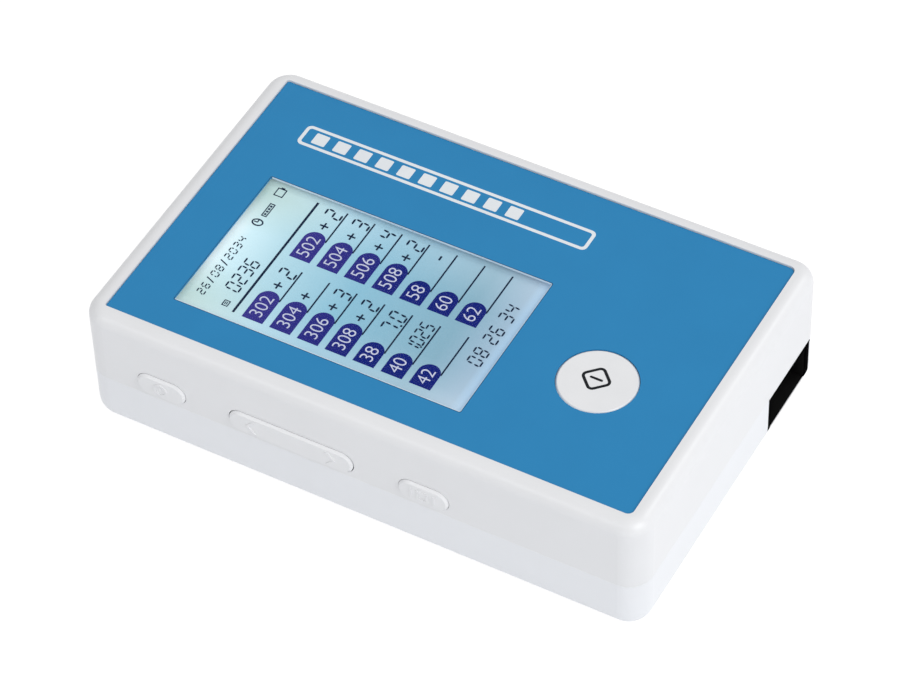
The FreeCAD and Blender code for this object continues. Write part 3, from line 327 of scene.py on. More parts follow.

# %% [markdown]
# The display is a grey-green liquid crystal with a pale light guide behind it, and it glows with
# that backlight. The glow also lifts the shade of the label's recess, so it is partly painted
# light. It is whitest in the middle of its upper edge, partly from the lamps of the light guide
# that sit there and partly as a painted reflection. It is greener in the corners beside them, teal
# over most of its face, and bluer and greyer towards the foot. Painted light brightens its long
# edges and the edge at its foot, where the recess throws shade. All of that depends only on where a
# point lies on the glass, so a colour ramp along the length does it, with one mask for the corners
# and one for the edges.

# %% Display glass
# The last stop, at the edge of the foot, is painted light against the shade of the recess there.
GLASS_STOPS = [(0.03, (0.75, 0.88, 0.90)), (0.08, (0.56, 0.77, 0.84)), (0.20, (0.39, 0.61, 0.70)),
               (0.46, (0.21, 0.44, 0.57)), (0.80, (0.185, 0.350, 0.45)),
               (0.925, (0.29, 0.42, 0.54)), (0.955, (0.39, 0.58, 0.77))]
CORNER_TINT, CORNER_SPAN, CORNER_DOWN = (0.35, 0.52, 0.48), (5 * MM, 16 * MM), (0.02, 0.30)
PAINTED_LIGHT_TINT = (0.84, 0.93, 1.0)
EDGE_PAINTED_LIGHT, EDGE_SPAN = 0.15, (8 * MM, 19 * MM)
NEAR_PAINTED_LIGHT, NEAR_SPAN = 0.10, (-19 * MM, -14 * MM)
CLOUD_SCALE, CLOUD_SHARE = 140.0, 0.04
GLASS_GLOW, GLASS_ROUGH, GLASS_MIRROR = 0.35, 0.35, 0.25

glass_low, glass_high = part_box("lcd_glass")
glass_middle = (glass_low.y + glass_high.y) / 2
lcd, tree, shader = new_finish("display_glass")
place = add_node(tree, "ShaderNodeSeparateXYZ", {"Vector": place_of(tree)}).outputs
down = spread(tree, place["X"], 0, 1, glass_low.x, glass_high.x)
ramp = add_node(tree, "ShaderNodeValToRGB", {"Fac": down})
while len(ramp.color_ramp.elements) < len(GLASS_STOPS):
    ramp.color_ramp.elements.new(0.5)
for element, (position, colour) in zip(ramp.color_ramp.elements, GLASS_STOPS):
    element.position = position
    element.color = solid(colour)
off_centre = reckon(tree, "SUBTRACT", place["Y"], glass_middle)
sideways = reckon(tree, "ABSOLUTE", off_centre)
corner = reckon(tree, "MULTIPLY", spread(tree, sideways, 0, 1, *CORNER_SPAN),
                spread(tree, down, 1, 0, *CORNER_DOWN))
tinted = blend_colours(tree, corner, ramp.outputs["Color"], solid(CORNER_TINT))
# Painted light along the long edges, stronger along the near one, against the recess's shade.
painted_edge_light = reckon(tree, "ADD", spread(tree, sideways, 0.0, EDGE_PAINTED_LIGHT, *EDGE_SPAN),
              spread(tree, off_centre, NEAR_PAINTED_LIGHT, 0.0, *NEAR_SPAN))
pale = reckon(tree, "ADD", spread(tree, mottle(tree, CLOUD_SCALE), 0.0, CLOUD_SHARE), painted_edge_light)
face = blend_colours(tree, pale, tinted, solid(PAINTED_LIGHT_TINT))
fill(shader, {"Base Color": face, "Emission Color": face, "Emission Strength": GLASS_GLOW,
              "Roughness": GLASS_ROUGH, "Specular IOR Level": GLASS_MIRROR})
dress(lcd, "lcd_glass")

# %% [markdown]
# The print of the display is made of thin flat prisms that stand just proud of the glass. A prism
# is an outline, drawn once low and once high, with walls between. The outline is given in the
# display's own directions, across the line of reading and down it, and a small function turns
# these into places on the object: the lines read along the short way of the box.

# %% Flat prisms
PRINT_GAP, PRINT_STAND = 0.01, 0.05
PRINT_LOW = glass_high.z / MM + PRINT_GAP
PRINT_HIGH = glass_high.z / MM + PRINT_STAND
READ_START, READ_TOP = -28.15, -47.7


def on_display(across, down_page, height):
    """A point of the print, from its distance across and down the page and its height, in mm."""
    return Vector((READ_TOP + down_page, READ_START + across, height)) * MM


def as_mesh(shape):
    """Ends a mesh in the making."""
    mesh = bpy.data.meshes.new("piece")
    shape.to_mesh(mesh)
    shape.free()
    return mesh


def skin(shape, first, second):
    """Joins two loops of points with a band of four-sided faces."""
    for i in range(len(first)):
        j = (i + 1) % len(first)
        shape.faces.new((first[i], first[j], second[j], second[i]))


def prisms(outlines, place, low, high):
    """Closed flat prisms, one for each outline. An outline may be a pair: outer and inner edge."""
    shape = bmesh.new()
    for outline in outlines:
        loops = outline if isinstance(outline, tuple) else (outline,)
        levels = [[[shape.verts.new(place(a, b, h)) for a, b in loop] for h in (low, high)]
                  for loop in loops]
        for bottom, top in levels:
            skin(shape, bottom, top)
        if len(loops) == 1:
            for cap in levels[0]:
                shape.faces.new(cap)
        else:
            for outer, inner in zip(*levels):
                skin(shape, outer, inner)
    bmesh.ops.recalc_face_normals(shape, faces=shape.faces)
    return as_mesh(shape)


def keep(name, mesh, finish, body):
    """Puts a finished mesh in the scene with its finish, riding on its CAD body."""
    mesh.name = name
    mesh.materials.append(finish)
    piece = bpy.data.objects.new(name, mesh)
    scene.collection.objects.link(piece)
    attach(piece, body)
    print(name, "made, with", len(mesh.polygons), "faces")
    return piece


def bar(left, top, right, bottom):
    """The outline of a plain bar."""
    return [(left, top), (right, top), (right, bottom), (left, bottom)]


print("the print of the display lies from", round(PRINT_LOW, 2), "to", round(PRINT_HIGH, 2), "mm")

# %% [markdown]
# The digits are those of a seven-segment display: seven short bars with pointed ends, each apart
# from the next, and the whole digit leans a little. One table says which bars each digit lights.

# %% Seven-segment digits
LEAN = 0.12
LIT = {"0": "abcdef", "1": "bc", "2": "abged", "3": "abgcd", "4": "fgbc", "5": "afgcd",
       "6": "afgedc", "7": "abc", "8": "abcdefg", "9": "abcfgd", "-": "g"}
BAR_GAP, BAR_POINT = 0.32, 0.6
DOT_PLACE, SPACE_SHARE = 0.35, 0.5
SLASH_HEAD, SLASH_FOOT = 0.75, 0.15


def digit(sign, left, top, wide, tall, stroke):
    """The outlines of one digit's bars, across and down the page."""
    gap, half = stroke * BAR_GAP, stroke / 2
    point = half * BAR_POINT
    middle, foot, right = top + tall / 2, top + tall, left + wide
    before, after = left + half, right - half

    def flat(row):
        a, b = left + half + gap, right - half - gap
        return [(a - point, row), (a + half, row - half), (b - half, row - half),
                (b + point, row), (b - half, row + half), (a + half, row + half)]

    def upright(column, start, end):
        a, b = start + half + gap, end - half - gap
        return [(column, a - point), (column + half, a + half), (column + half, b - half),
                (column, b + point), (column - half, b - half), (column - half, a + half)]

    bars = {"a": flat(top + half), "g": flat(middle), "d": flat(foot - half),
            "f": upright(before, top + half, middle), "b": upright(after, top + half, middle),
            "e": upright(before, middle, foot - half), "c": upright(after, middle, foot - half)}
    return [[(a + LEAN * (foot - b), b) for a, b in bars[key]] for key in LIT[sign]]


def number(text, left, top, wide, tall, stroke, pitch):
    """A row of digits. A dot takes no room of its own, and a space takes half a digit."""
    outlines, at, foot = [], left, top + tall
    for sign in text:
        if sign == ".":
            dot = at - pitch + wide + (pitch - wide) * DOT_PLACE
            outlines.append(bar(dot, foot - stroke, dot + stroke, foot))
        elif sign == "/":
            head, base = at + wide * SLASH_HEAD, at + wide * SLASH_FOOT
            outlines.append([(head, top), (head + stroke, top),
                             (base + stroke, foot), (base, foot)])
            at += pitch
        elif sign == " ":
            at += pitch * SPACE_SHARE
        else:
            outlines += digit(sign, at, top, wide, tall, stroke)
            at += pitch
    return outlines


print("digits that can be lit:", "".join(LIT))

# %% [markdown]
# The page has a head with a date, a running number, a line and a few plain icons. Under it stand
# two columns of seven rows. Each row has a dark tab with a number, a plus sign and a value over a
# thin line. The rows stand at an even pitch, so loops make them.

# %% Tabs and lines of the display
ROW_PITCH, ROWS, LONG_ROWS = 6.36, 7, 4
TAB_TOP, TAB_WIDE = 13.75, 4.75
TABS = {
    "left": {"base": 3.5, "long": 12.1, "short": 9.75, "line_end": 19.4, "plus": 14.05},
    "right": {"base": 22.2, "long": 30.5, "short": 28.45, "line_end": 37.87, "plus": 32.57},
}
ARCH_STEPS = 14
HEAD_LINE = (3.65, 11.36, 37.76, 11.88)
LINE_HALF, LINE_UNDER = 0.17, 1.9


def tab_tip(side, row):
    """Where a row's tab ends: the upper tabs are longer."""
    return side["long"] if row < LONG_ROWS else side["short"]


def tab(base, tip, top, wide):
    """A tab with a square foot and an arched head."""
    half = wide / 2
    start = tip - half
    arch = [(start + half * sin(pi * i / ARCH_STEPS), top + half - half * cos(pi * i / ARCH_STEPS))
            for i in range(ARCH_STEPS + 1)]
    return [(base, top)] + arch + [(base, top + wide)]


tabs, lines = [], [bar(*HEAD_LINE)]
for side in TABS.values():
    for row in range(ROWS):
        tip, top = tab_tip(side, row), TAB_TOP + ROW_PITCH * row
        tabs.append(tab(side["base"], tip, top, TAB_WIDE))
        below = top + TAB_WIDE
        lines.append(bar(tip - LINE_UNDER, below - LINE_HALF, side["line_end"], below + LINE_HALF))
print(len(tabs), "tabs and", len(lines), "lines")

# %% [markdown]
# The values are digits after a plus sign. Below them and in the head stand longer numbers, each
# with a size and a pitch of its own. All places are in millimetres, across and down the page.

# %% Values and numbers of the display
VALUE_TOP, VALUE_TALL, VALUE_WIDE = 14.1, 4.0, 2.1
PLUS_TOP, PLUS_SIZE, PLUS_STROKE, PLUS_SPLIT = 15.97, 1.9, 0.38, 0.001
STROKE, SMALL_STROKE, THIN_STROKE = 0.42, 0.36, 0.28
COLUMNS = (("left", 16.45, "2 32"), ("right", 34.95, "2342"))
MINUS = (35.0, 41.05, 36.2, 41.45)
NUMBERS = [     # text, left, top, digit's width and height, stroke, pitch
    ("7.0", 13.1, VALUE_TOP + ROW_PITCH * 4, VALUE_WIDE, VALUE_TALL, STROKE, 3.3),
    ("1.025", 10.7, 46.3, 1.7, 3.4, SMALL_STROKE, 2.1),
    ("08 26 34", 13.2, 59.1, 1.9, 3.4, SMALL_STROKE, 2.6),
    ("26/08/2034", 4.8, 2.1, 1.35, 2.0, THIN_STROKE, 1.79),
    ("0236", 8.4, 6.5, 1.95, 3.5, SMALL_STROKE, 2.42),
]


def plus(across, down_page):
    """A plus sign, as a bar and two halves of a second one."""
    reach, half = PLUS_SIZE / 2, PLUS_STROKE / 2
    return [bar(across - reach, down_page - half, across + reach, down_page + half),
            bar(across - half, down_page - reach, across + half, down_page - half - PLUS_SPLIT),
            bar(across - half, down_page + half + PLUS_SPLIT, across + half, down_page + reach)]


values = []
for column, left, signs in COLUMNS:
    for row, sign in enumerate(signs):
        values += plus(TABS[column]["plus"], PLUS_TOP + ROW_PITCH * row)
        if sign != " ":
            values += digit(sign, left, VALUE_TOP + ROW_PITCH * row, VALUE_WIDE, VALUE_TALL, STROKE)
values.append(bar(*MINUS))
for row_of_digits in NUMBERS:
    values += number(*row_of_digits)
print(len(values), "bars in the values and numbers")

# %% [markdown]
# The icons in the head stay plain: a battery, a ring for the clock, a strip and a small sheet.

# %% Icons of the head
RING_STEPS = 28
ICON_LINE, CLOCK_LINE, SHEET_LINE = 0.22, 0.32, 0.20


def ring(across, down_page, outer_a, outer_b, stroke):
    """An oval ring, as an outer and an inner edge."""
    angles = [2 * pi * i / RING_STEPS for i in range(RING_STEPS)]
    return tuple([(across + (outer_a - cut) * cos(t), down_page + (outer_b - cut) * sin(t))
                  for t in angles] for cut in (0.0, stroke))


def box_ring(left, top, right, bottom, stroke):
    """A hollow box, as an outer and an inner edge."""
    return (bar(left, top, right, bottom),
            bar(left + stroke, top + stroke, right - stroke, bottom - stroke))


battery_icon = [box_ring(35.5, 2.2, 37.8, 4.3, ICON_LINE), bar(37.8, 2.8, 38.1, 3.7)]
clock_icon = [ring(27.3, 3.35, 1.0, 1.3, CLOCK_LINE), bar(27.17, 2.55, 27.43, 3.4),
              bar(27.43, 3.2, 27.95, 3.46)]
strip_icon = [box_ring(29.3, 2.95, 33.2, 4.2, ICON_LINE)]
strip_icon += [bar(29.75 + 0.8 * i, 3.35, 30.25 + 0.8 * i, 3.8) for i in range(4)]
sheet_icon = [box_ring(4.3, 8.5, 5.9, 9.9, SHEET_LINE), bar(4.75, 8.92, 5.5, 9.1),
              bar(4.75, 9.28, 5.5, 9.46)]
icons = battery_icon + clock_icon + strip_icon + sheet_icon
print(len(icons), "outlines in the icons")

# %% [markdown]
# The inks hardly mirror anything, or the lamps would turn them grey. The tabs are warmer near the
# head of the page, where the light behind them is strongest, and a deeper blue further down.

# %% Inks and pieces of the print
INK_MIRROR, INK_ROUGH = 0.05, (0.45, 0.55)
TAB_BLUE, TAB_WARM = (0.003, 0.014, 0.20), (0.055, 0.044, 0.31)
WARM_SHARE, WARM_SPAN = 0.85, (-36 * MM, -8 * MM)
UNEVEN_SCALE, UNEVEN_SHARE = 90.0, 0.15
LINE_DROP = 0.01

segment_ink = grained("segment_ink", (0.005, 0.016, 0.050), (0.008, 0.022, 0.062),
                      INK_ROUGH, drift_mm=6, grain_mm=0.2, depth_mm=0.001, mirror=INK_MIRROR)
tab_ink, tree, shader = new_finish("tab_ink")
along = add_node(tree, "ShaderNodeSeparateXYZ", {"Vector": place_of(tree)}).outputs["X"]
uneven = mottle(tree, UNEVEN_SCALE)
warm = reckon(tree, "ADD", spread(tree, along, WARM_SHARE, 0.0, *WARM_SPAN),
              spread(tree, uneven, 0.0, UNEVEN_SHARE))
fill(shader, {"Base Color": between(tree, warm, TAB_BLUE, TAB_WARM),
              "Roughness": spread(tree, uneven, *INK_ROUGH), "Specular IOR Level": INK_MIRROR})

for name, outlines, ink, high in (("display_digits", values, segment_ink, PRINT_HIGH),
                                  ("display_lines", lines, segment_ink, PRINT_HIGH - LINE_DROP),
                                  ("display_icons", icons, segment_ink, PRINT_HIGH),
                                  ("display_tabs", tabs, tab_ink, PRINT_HIGH)):
    keep(name, prisms(outlines, on_display, PRINT_LOW, high), ink, "housing")

# %% [markdown]
# The tabs carry plain numbers in a thin pale type. Blender's own type gives the shapes: a text
# object is set up flat, turned so that it reads along the tab, given a hair of thickness and then
# kept as a mesh, so it travels with the model like any other piece.

# %% Numbers on the tabs
TYPE_TALL, TYPE_SQUEEZE, TYPE_THIN = 4.15, 0.98, 0.035
TYPE_LOW, TYPE_HIGH = PRINT_HIGH - 0.01, PRINT_HIGH + 0.015
TYPE_SHIFT = 0.25
FIRST_NUMBERS = {"left": 302, "right": 502}


def typed(text, across, middle):
    """A flat number as a mesh, centred on a point of the page."""
    curve = bpy.data.curves.new("tab_number", "FONT")
    curve.body = text
    curve.align_x = curve.align_y = "CENTER"
    curve.size = TYPE_TALL * MM
    curve.extrude = (TYPE_HIGH - TYPE_LOW) / 2 * MM
    curve.offset = -TYPE_THIN * MM
    maker = bpy.data.objects.new("tab_number", curve)
    mesh = bpy.data.meshes.new_from_object(maker)
    place = Matrix.Translation(on_display(across, middle, (TYPE_LOW + TYPE_HIGH) / 2))
    upright = Matrix.Rotation(pi / 2, 4, "Z")
    mesh.transform(place @ upright @ Matrix.Diagonal((TYPE_SQUEEZE, 1, 1, 1)))
    bpy.data.objects.remove(maker)
    return mesh


def joined(meshes):
    """One mesh out of several."""
    shape = bmesh.new()
    for mesh in meshes:
        shape.from_mesh(mesh)
    return as_mesh(shape)


pale_print = grained("pale_print", (0.62, 0.66, 0.86), (0.68, 0.72, 0.90),
                     (0.40, 0.50), drift_mm=8, grain_mm=0.2, depth_mm=0.001)
tab_numbers = []
for column, first in FIRST_NUMBERS.items():
    side = TABS[column]
    for row in range(ROWS):
        shown_number = (first if row < LONG_ROWS else first // 10) + 2 * row
        centre = (side["base"] + tab_tip(side, row)) / 2 - TYPE_SHIFT
        middle = TAB_TOP + ROW_PITCH * row + TAB_WIDE / 2
        tab_numbers.append(typed(str(shown_number), centre, middle))
keep("display_tab_numbers", joined(tab_numbers), pale_print, "housing")

# %% [markdown]
# The label is cut out over the display. Along three sides of the opening a thin pale line is
# painted: a painted highlight of the cut edge. On the fourth, away from the port, there is none.
# Round it runs a hairline of darker ink, which is painted shade along the cut.

# %% Edges of the label's opening
label_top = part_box("panel_overlay")[1].z / MM
OPENING = (-47.7, -27.85, 17.5, 10.65)
OPENING_ROUND = 0.4
EDGE_WIDE, FAR_EDGE_WIDE, HAIRLINE = 0.20, 0.12, 0.12
EDGE_LOW, EDGE_HIGH = 31.12, 31.49
EDGE_GAP, EDGE_SPLIT = 0.02, 0.01
INK, INK_SINK = 0.03, 0.01


def on_plan(x, y, height):
    """A point by its place on the plan and its height, in mm."""
    return Vector((x, y, height)) * MM


def rounded(left, low, right, high, radius, steps=6):
    """The outline of a rectangle with round corners."""
    outline = []
    for cx, cy, start in ((right - radius, high - radius, 0), (left + radius, high - radius, 90),
                          (left + radius, low + radius, 180), (right - radius, low + radius, 270)):
        for i in range(steps + 1):
            angle = radians(start + 90 * i / steps)
            outline.append((cx + radius * cos(angle), cy + radius * sin(angle)))
    return outline


def round_frame(left, low, right, high, stroke, outer_round, inner_round):
    """A frame with round corners, as an outer and an inner edge."""
    return (rounded(left, low, right, high, outer_round),
            rounded(left + stroke, low + stroke, right - stroke, high - stroke, inner_round))


def printed(outlines, place, surface):
    """Ink on a surface. It sinks in by a hair, so no gap shows under it."""
    return prisms(outlines, place, surface - INK_SINK, surface + INK)


left, low, right, high = OPENING
# Painted highlights along three edges of the opening.
painted_highlight_edges = [
    bar(left + EDGE_WIDE, low + EDGE_GAP, right - EDGE_GAP, low + EDGE_WIDE),
    bar(right - FAR_EDGE_WIDE, low + EDGE_WIDE + EDGE_SPLIT,
        right - EDGE_GAP, high - EDGE_WIDE - EDGE_SPLIT),
    bar(left + EDGE_WIDE, high - FAR_EDGE_WIDE, right - EDGE_GAP, high - EDGE_GAP)]
# The hairline is painted shade round the opening.
hairline = round_frame(left - HAIRLINE, low - HAIRLINE, right + HAIRLINE, high + HAIRLINE,
                       HAIRLINE, OPENING_ROUND, OPENING_ROUND)
painted_edge_highlight = grained("painted_edge_highlight", (0.58, 0.70, 0.82), (0.66, 0.78, 0.90),
                    (0.30, 0.40), drift_mm=12, grain_mm=0.2, depth_mm=0.001)
painted_edge_shade = grained("painted_edge_shade", (0.010, 0.070, 0.150), (0.014, 0.085, 0.180),
                   (0.46, 0.52), drift_mm=9, grain_mm=0.25, depth_mm=0.001, mirror=0.2)
keep("opening_edge", prisms(painted_highlight_edges, on_plan, EDGE_LOW, EDGE_HIGH),
     painted_edge_highlight, "housing")
keep("opening_hairline", printed([hairline], on_plan, label_top),
     painted_edge_shade, "housing")

# %% [markdown]
# On the label, beside the display, stands a pictogram of a test strip: a long thin outline with
# its row of square pads. It is printed white, about as long and as heavy as a line of bold type.

# %% Pictogram on the label
STRIP_LEFT, STRIP_RIGHT = -48.4, 19.0
STRIP_MIDDLE, STRIP_HALF = 24.4, 2.9
STRIP_LINE, STRIP_ROUND, STRIP_INNER_ROUND = 0.75, 1.2, 0.6
PADS, PAD_SIZE, PAD_ROUND = 10, 3.1, 0.3
PAD_PITCH, PAD_FIRST = 5.05, -45.6

strip_outline = round_frame(STRIP_LEFT, STRIP_MIDDLE - STRIP_HALF, STRIP_RIGHT,
                            STRIP_MIDDLE + STRIP_HALF, STRIP_LINE, STRIP_ROUND, STRIP_INNER_ROUND)
pad_starts = [PAD_FIRST + PAD_PITCH * i for i in range(PADS)]
pads = [rounded(start, STRIP_MIDDLE - PAD_SIZE / 2, start + PAD_SIZE, STRIP_MIDDLE + PAD_SIZE / 2,
                PAD_ROUND) for start in pad_starts]
white_ink = grained("white_ink", (0.76, 0.80, 0.84), (0.80, 0.84, 0.87),
                    (0.45, 0.52), drift_mm=7, grain_mm=0.2, depth_mm=0.001)
keep("label_pictogram", printed([strip_outline] + pads, on_plan, label_top),
     white_ink, "housing")

# %% [markdown]
# The start button carries a printed mark: a rounded square standing on its corner, with a short
# bar in it. Its ink rides on the button, so it goes down with it.

# %% Mark on the start button
button_low, button_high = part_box("start_button")
MARK_SHIFT = (-0.48, 0.43)
MARK_HALF, MARK_ROUND, MARK_STROKE = 2.54, 1.20, 0.62
BAR_HALF, BAR_STROKE, BAR_END = 1.42, 0.56, 0.27
mark_x = (button_low.x + button_high.x) / 2 / MM + MARK_SHIFT[0]
mark_y = (button_low.y + button_high.y) / 2 / MM + MARK_SHIFT[1]
button_top = button_high.z / MM


def on_mark(x, y, height):
    """A point of the mark, in the box's own directions."""
    return on_plan(mark_x + x, mark_y + y, height)


def turned_mark(x, y, height):
    """A point of the mark's square, which stands turned by an eighth of a turn."""
    a, b = cos(pi / 4), sin(pi / 4)
    return on_mark(a * x - b * y, b * x + a * y, height)


square = round_frame(-MARK_HALF, -MARK_HALF, MARK_HALF, MARK_HALF,
                     MARK_STROKE, MARK_ROUND, MARK_ROUND - MARK_STROKE)
mark_bar = rounded(-BAR_HALF, -BAR_STROKE / 2, BAR_HALF, BAR_STROKE / 2, BAR_END)
dark_ink = grained("dark_ink", (0.007, 0.009, 0.011), (0.012, 0.014, 0.017),
                   (0.45, 0.55), drift_mm=3, grain_mm=0.2, depth_mm=0.001, mirror=0.1)
start_mark = joined([printed([square], turned_mark, button_top),
                     printed([mark_bar], on_mark, button_top)])
keep("start_mark", start_mark, dark_ink, "start_button")

# %% [markdown]
# The keys in the side carry marks in low relief, moulded with the key in the same plastic: a ring
# with a stroke for power, two arrow heads, and a box between two bars. They stand out by a fifth
# of a millimetre, and only their shading shows them.

# %% Relief marks on the keys
RELIEF, RELIEF_SINK, RELIEF_LINE = 0.20, 0.02, 0.46
POWER_ROUND, POWER_FOOT, POWER_HEAD = 1.6, 0.1, 0.95
ARROW_REACH, ARROW_BROAD, ARROW_LEFT, ARROW_RIGHT = 1.7, 1.35, 10.1, 10.5
SHEET_HALF, SHEET_SIDE = 1.3, 2.8
key_low, key_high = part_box("left_key")
key_face = key_low.y / MM
key_middle = (key_low.z + key_high.z) / 2 / MM


def on_key(x, z, proud):
    """A point on the keys' outer face, which looks towards -Y."""
    return Vector((x, key_face - proud, z)) * MM


def middle_x(name):
    """The middle of a node along the box, in mm."""
    low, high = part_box(name)
    return (low.x + high.x) / 2 / MM


def arrow(x, direction):
    """An open arrow head of two strokes."""
    wide, back = RELIEF_LINE * ARROW_BROAD, x - direction * ARROW_REACH
    return [[(x, key_middle), (back, key_middle + ARROW_REACH * up),
             (back - direction * wide, key_middle + ARROW_REACH * up),
             (x - direction * wide, key_middle)] for up in (1, -1)]


power, rocker, sheet = middle_x("left_key"), middle_x("rocker_key"), middle_x("right_key")
half = RELIEF_LINE / 2
below, above = key_middle - SHEET_HALF, key_middle + SHEET_HALF
relief_marks = {
    "left_key": [ring(power, key_middle, POWER_ROUND, POWER_ROUND, RELIEF_LINE),
                 bar(power - half, key_middle - POWER_FOOT, power + half, key_middle + POWER_HEAD)],
    "rocker_key": arrow(rocker - ARROW_LEFT, -1) + arrow(rocker + ARROW_RIGHT, 1),
    "right_key": [box_ring(sheet - SHEET_HALF, below, sheet + SHEET_HALF, above, RELIEF_LINE),
                  bar(sheet - SHEET_SIDE, below, sheet - SHEET_SIDE + RELIEF_LINE, above),
                  bar(sheet + SHEET_SIDE - RELIEF_LINE, below, sheet + SHEET_SIDE, above)],
}
for name, outlines in relief_marks.items():
    keep(name + "_mark", prisms(outlines, on_key, -RELIEF_SINK, RELIEF),
         key_plastic, name)

# %% [markdown]
# The two shells meet in a shadow gap of less than a tenth of a millimetre. The lower shell's tongue
# stands behind it, so the joint shows as a hairline that is a little paler than the walls. This is
# a painted highlight, where the tongue catches the light. A flat ring of a white lighter than the
# shells' plastic, just behind the walls' faces, paints it.

# %% Hairline of the joint
SEAM, SEAM_HALF = 14.10, 0.045
WALL_ROUND, SEAM_INSETS = 5.2, (0.02, 0.9)
KEYS_PROUD = 0.6
end = cad_box[1][0] / MM
near, far = key_face + KEYS_PROUD, cad_box[1][1] / MM
seam_rings = tuple(rounded(-end + inset, near + inset, end - inset, far - inset, WALL_ROUND - inset)
                   for inset in SEAM_INSETS)
# A white lighter than the shells' plastic: painted light, for the seam's highlight and the port's
# sill.
painted_light_white = grained("painted_light_white", (0.88, 0.89, 0.91), (0.92, 0.93, 0.94),
                       (0.30, 0.36), drift_mm=18, grain_mm=0.35, depth_mm=0.002)
keep("seam_painted_highlight", prisms([seam_rings], on_plan, SEAM - SEAM_HALF, SEAM + SEAM_HALF),
     painted_light_white, "housing")

# %% [markdown]
# The mouth of the port has black pieces in front of the guide: a foot, a post at each side, and a
# thin lip over the shells' joint above. They are painted shade over the white walls of the mouth,
# so the port looks black right up to the end face. A narrow sill stands before the foot, in the
# lighter white, which is painted light against the shade of the mouth, and the tray runs out over
# both. The end wall curves inwards near the feet, so all of them follow that curve: each is a
# profile of the wall, drawn out across the port.

# %% Painted shade and painted-light sill of the port
PORT_NEAR, PORT_FAR = 16.80, 35.56
POST_NEAR, POST_FAR = 18.12, 34.22
PORT_FOOT, PORT_HEAD, LIP_HEAD = 2.54, 13.36, 13.92
LIP_SINK, LIP_PROUD = 0.01, 0.03
CURVE_RADIUS, CURVE_HEAD = 4.8, 5.3
FOOT_HEIGHTS, POST_HEIGHTS = (2.9, 3.3), (4.1, 4.5, 4.9)
SILL_HEAD, SILL_DEPTH = 3.70, 0.20
SHADE_BACK, SHADE_INSET = 0.37, 0.06
HAIR = 0.02


def wall(z, inset):
    """How far out the end wall stands at a height, less an inset."""
    drop = max(0.0, CURVE_HEAD - z)
    return end - CURVE_RADIUS + sqrt((CURVE_RADIUS - inset) ** 2 - drop ** 2)


def wall_band(heights, front, back):
    """A band that follows the wall, between two insets."""
    return [(wall(z, front), z) for z in heights] + [(wall(z, back), z) for z in reversed(heights)]


def across_port(x, z, y):
    """A point of a profile of the end wall, drawn out to a place across the port."""
    return Vector((x, y, z)) * MM


# Black pieces that paint shade over the white walls of the port's mouth.
port_shade_black = grained("port_shade_black", (0.002, 0.002, 0.0022), (0.004, 0.004, 0.0045),
                     (0.60, 0.70), drift_mm=4, grain_mm=0.25, depth_mm=0.004, mirror=0.0)
post = wall_band((SILL_HEAD + HAIR, *POST_HEIGHTS, CURVE_HEAD, PORT_HEAD), SHADE_INSET, SHADE_BACK)
lip = bar(end - LIP_SINK, PORT_HEAD + HAIR, end + LIP_PROUD, LIP_HEAD)
foot = wall_band((PORT_FOOT, *FOOT_HEIGHTS, SILL_HEAD - 2 * HAIR), SILL_DEPTH + HAIR, SHADE_BACK)
keep("port_painted_shade", joined([
    prisms([post], across_port, PORT_NEAR, POST_NEAR),
    prisms([post], across_port, POST_FAR, PORT_FAR),
    prisms([foot], across_port, PORT_NEAR, PORT_FAR),
    prisms([lip], across_port, PORT_NEAR, PORT_FAR)]),
     port_shade_black, "housing")
# The sill's lighter white is painted light against the shade of the mouth.
sill = wall_band((PORT_FOOT, *FOOT_HEIGHTS, SILL_HEAD), SHADE_INSET / 2, SILL_DEPTH)
keep("port_sill", prisms([sill], across_port, PORT_NEAR, PORT_FAR),
     painted_light_white, "housing")

# %% [markdown]
# What is inside gets its finish too, because the tray comes out, the port can be looked into and
# the model may be taken apart. Most of it is the same kind of surface with other colours: dark
# engineering plastics, steel, brass and rubber. The table gives, for each, its two colours, its
# gloss, the size of its drift and grain, the depth of the grain and how metallic it is. The black
# of the guide hardly mirrors anything, so the port stays dark.

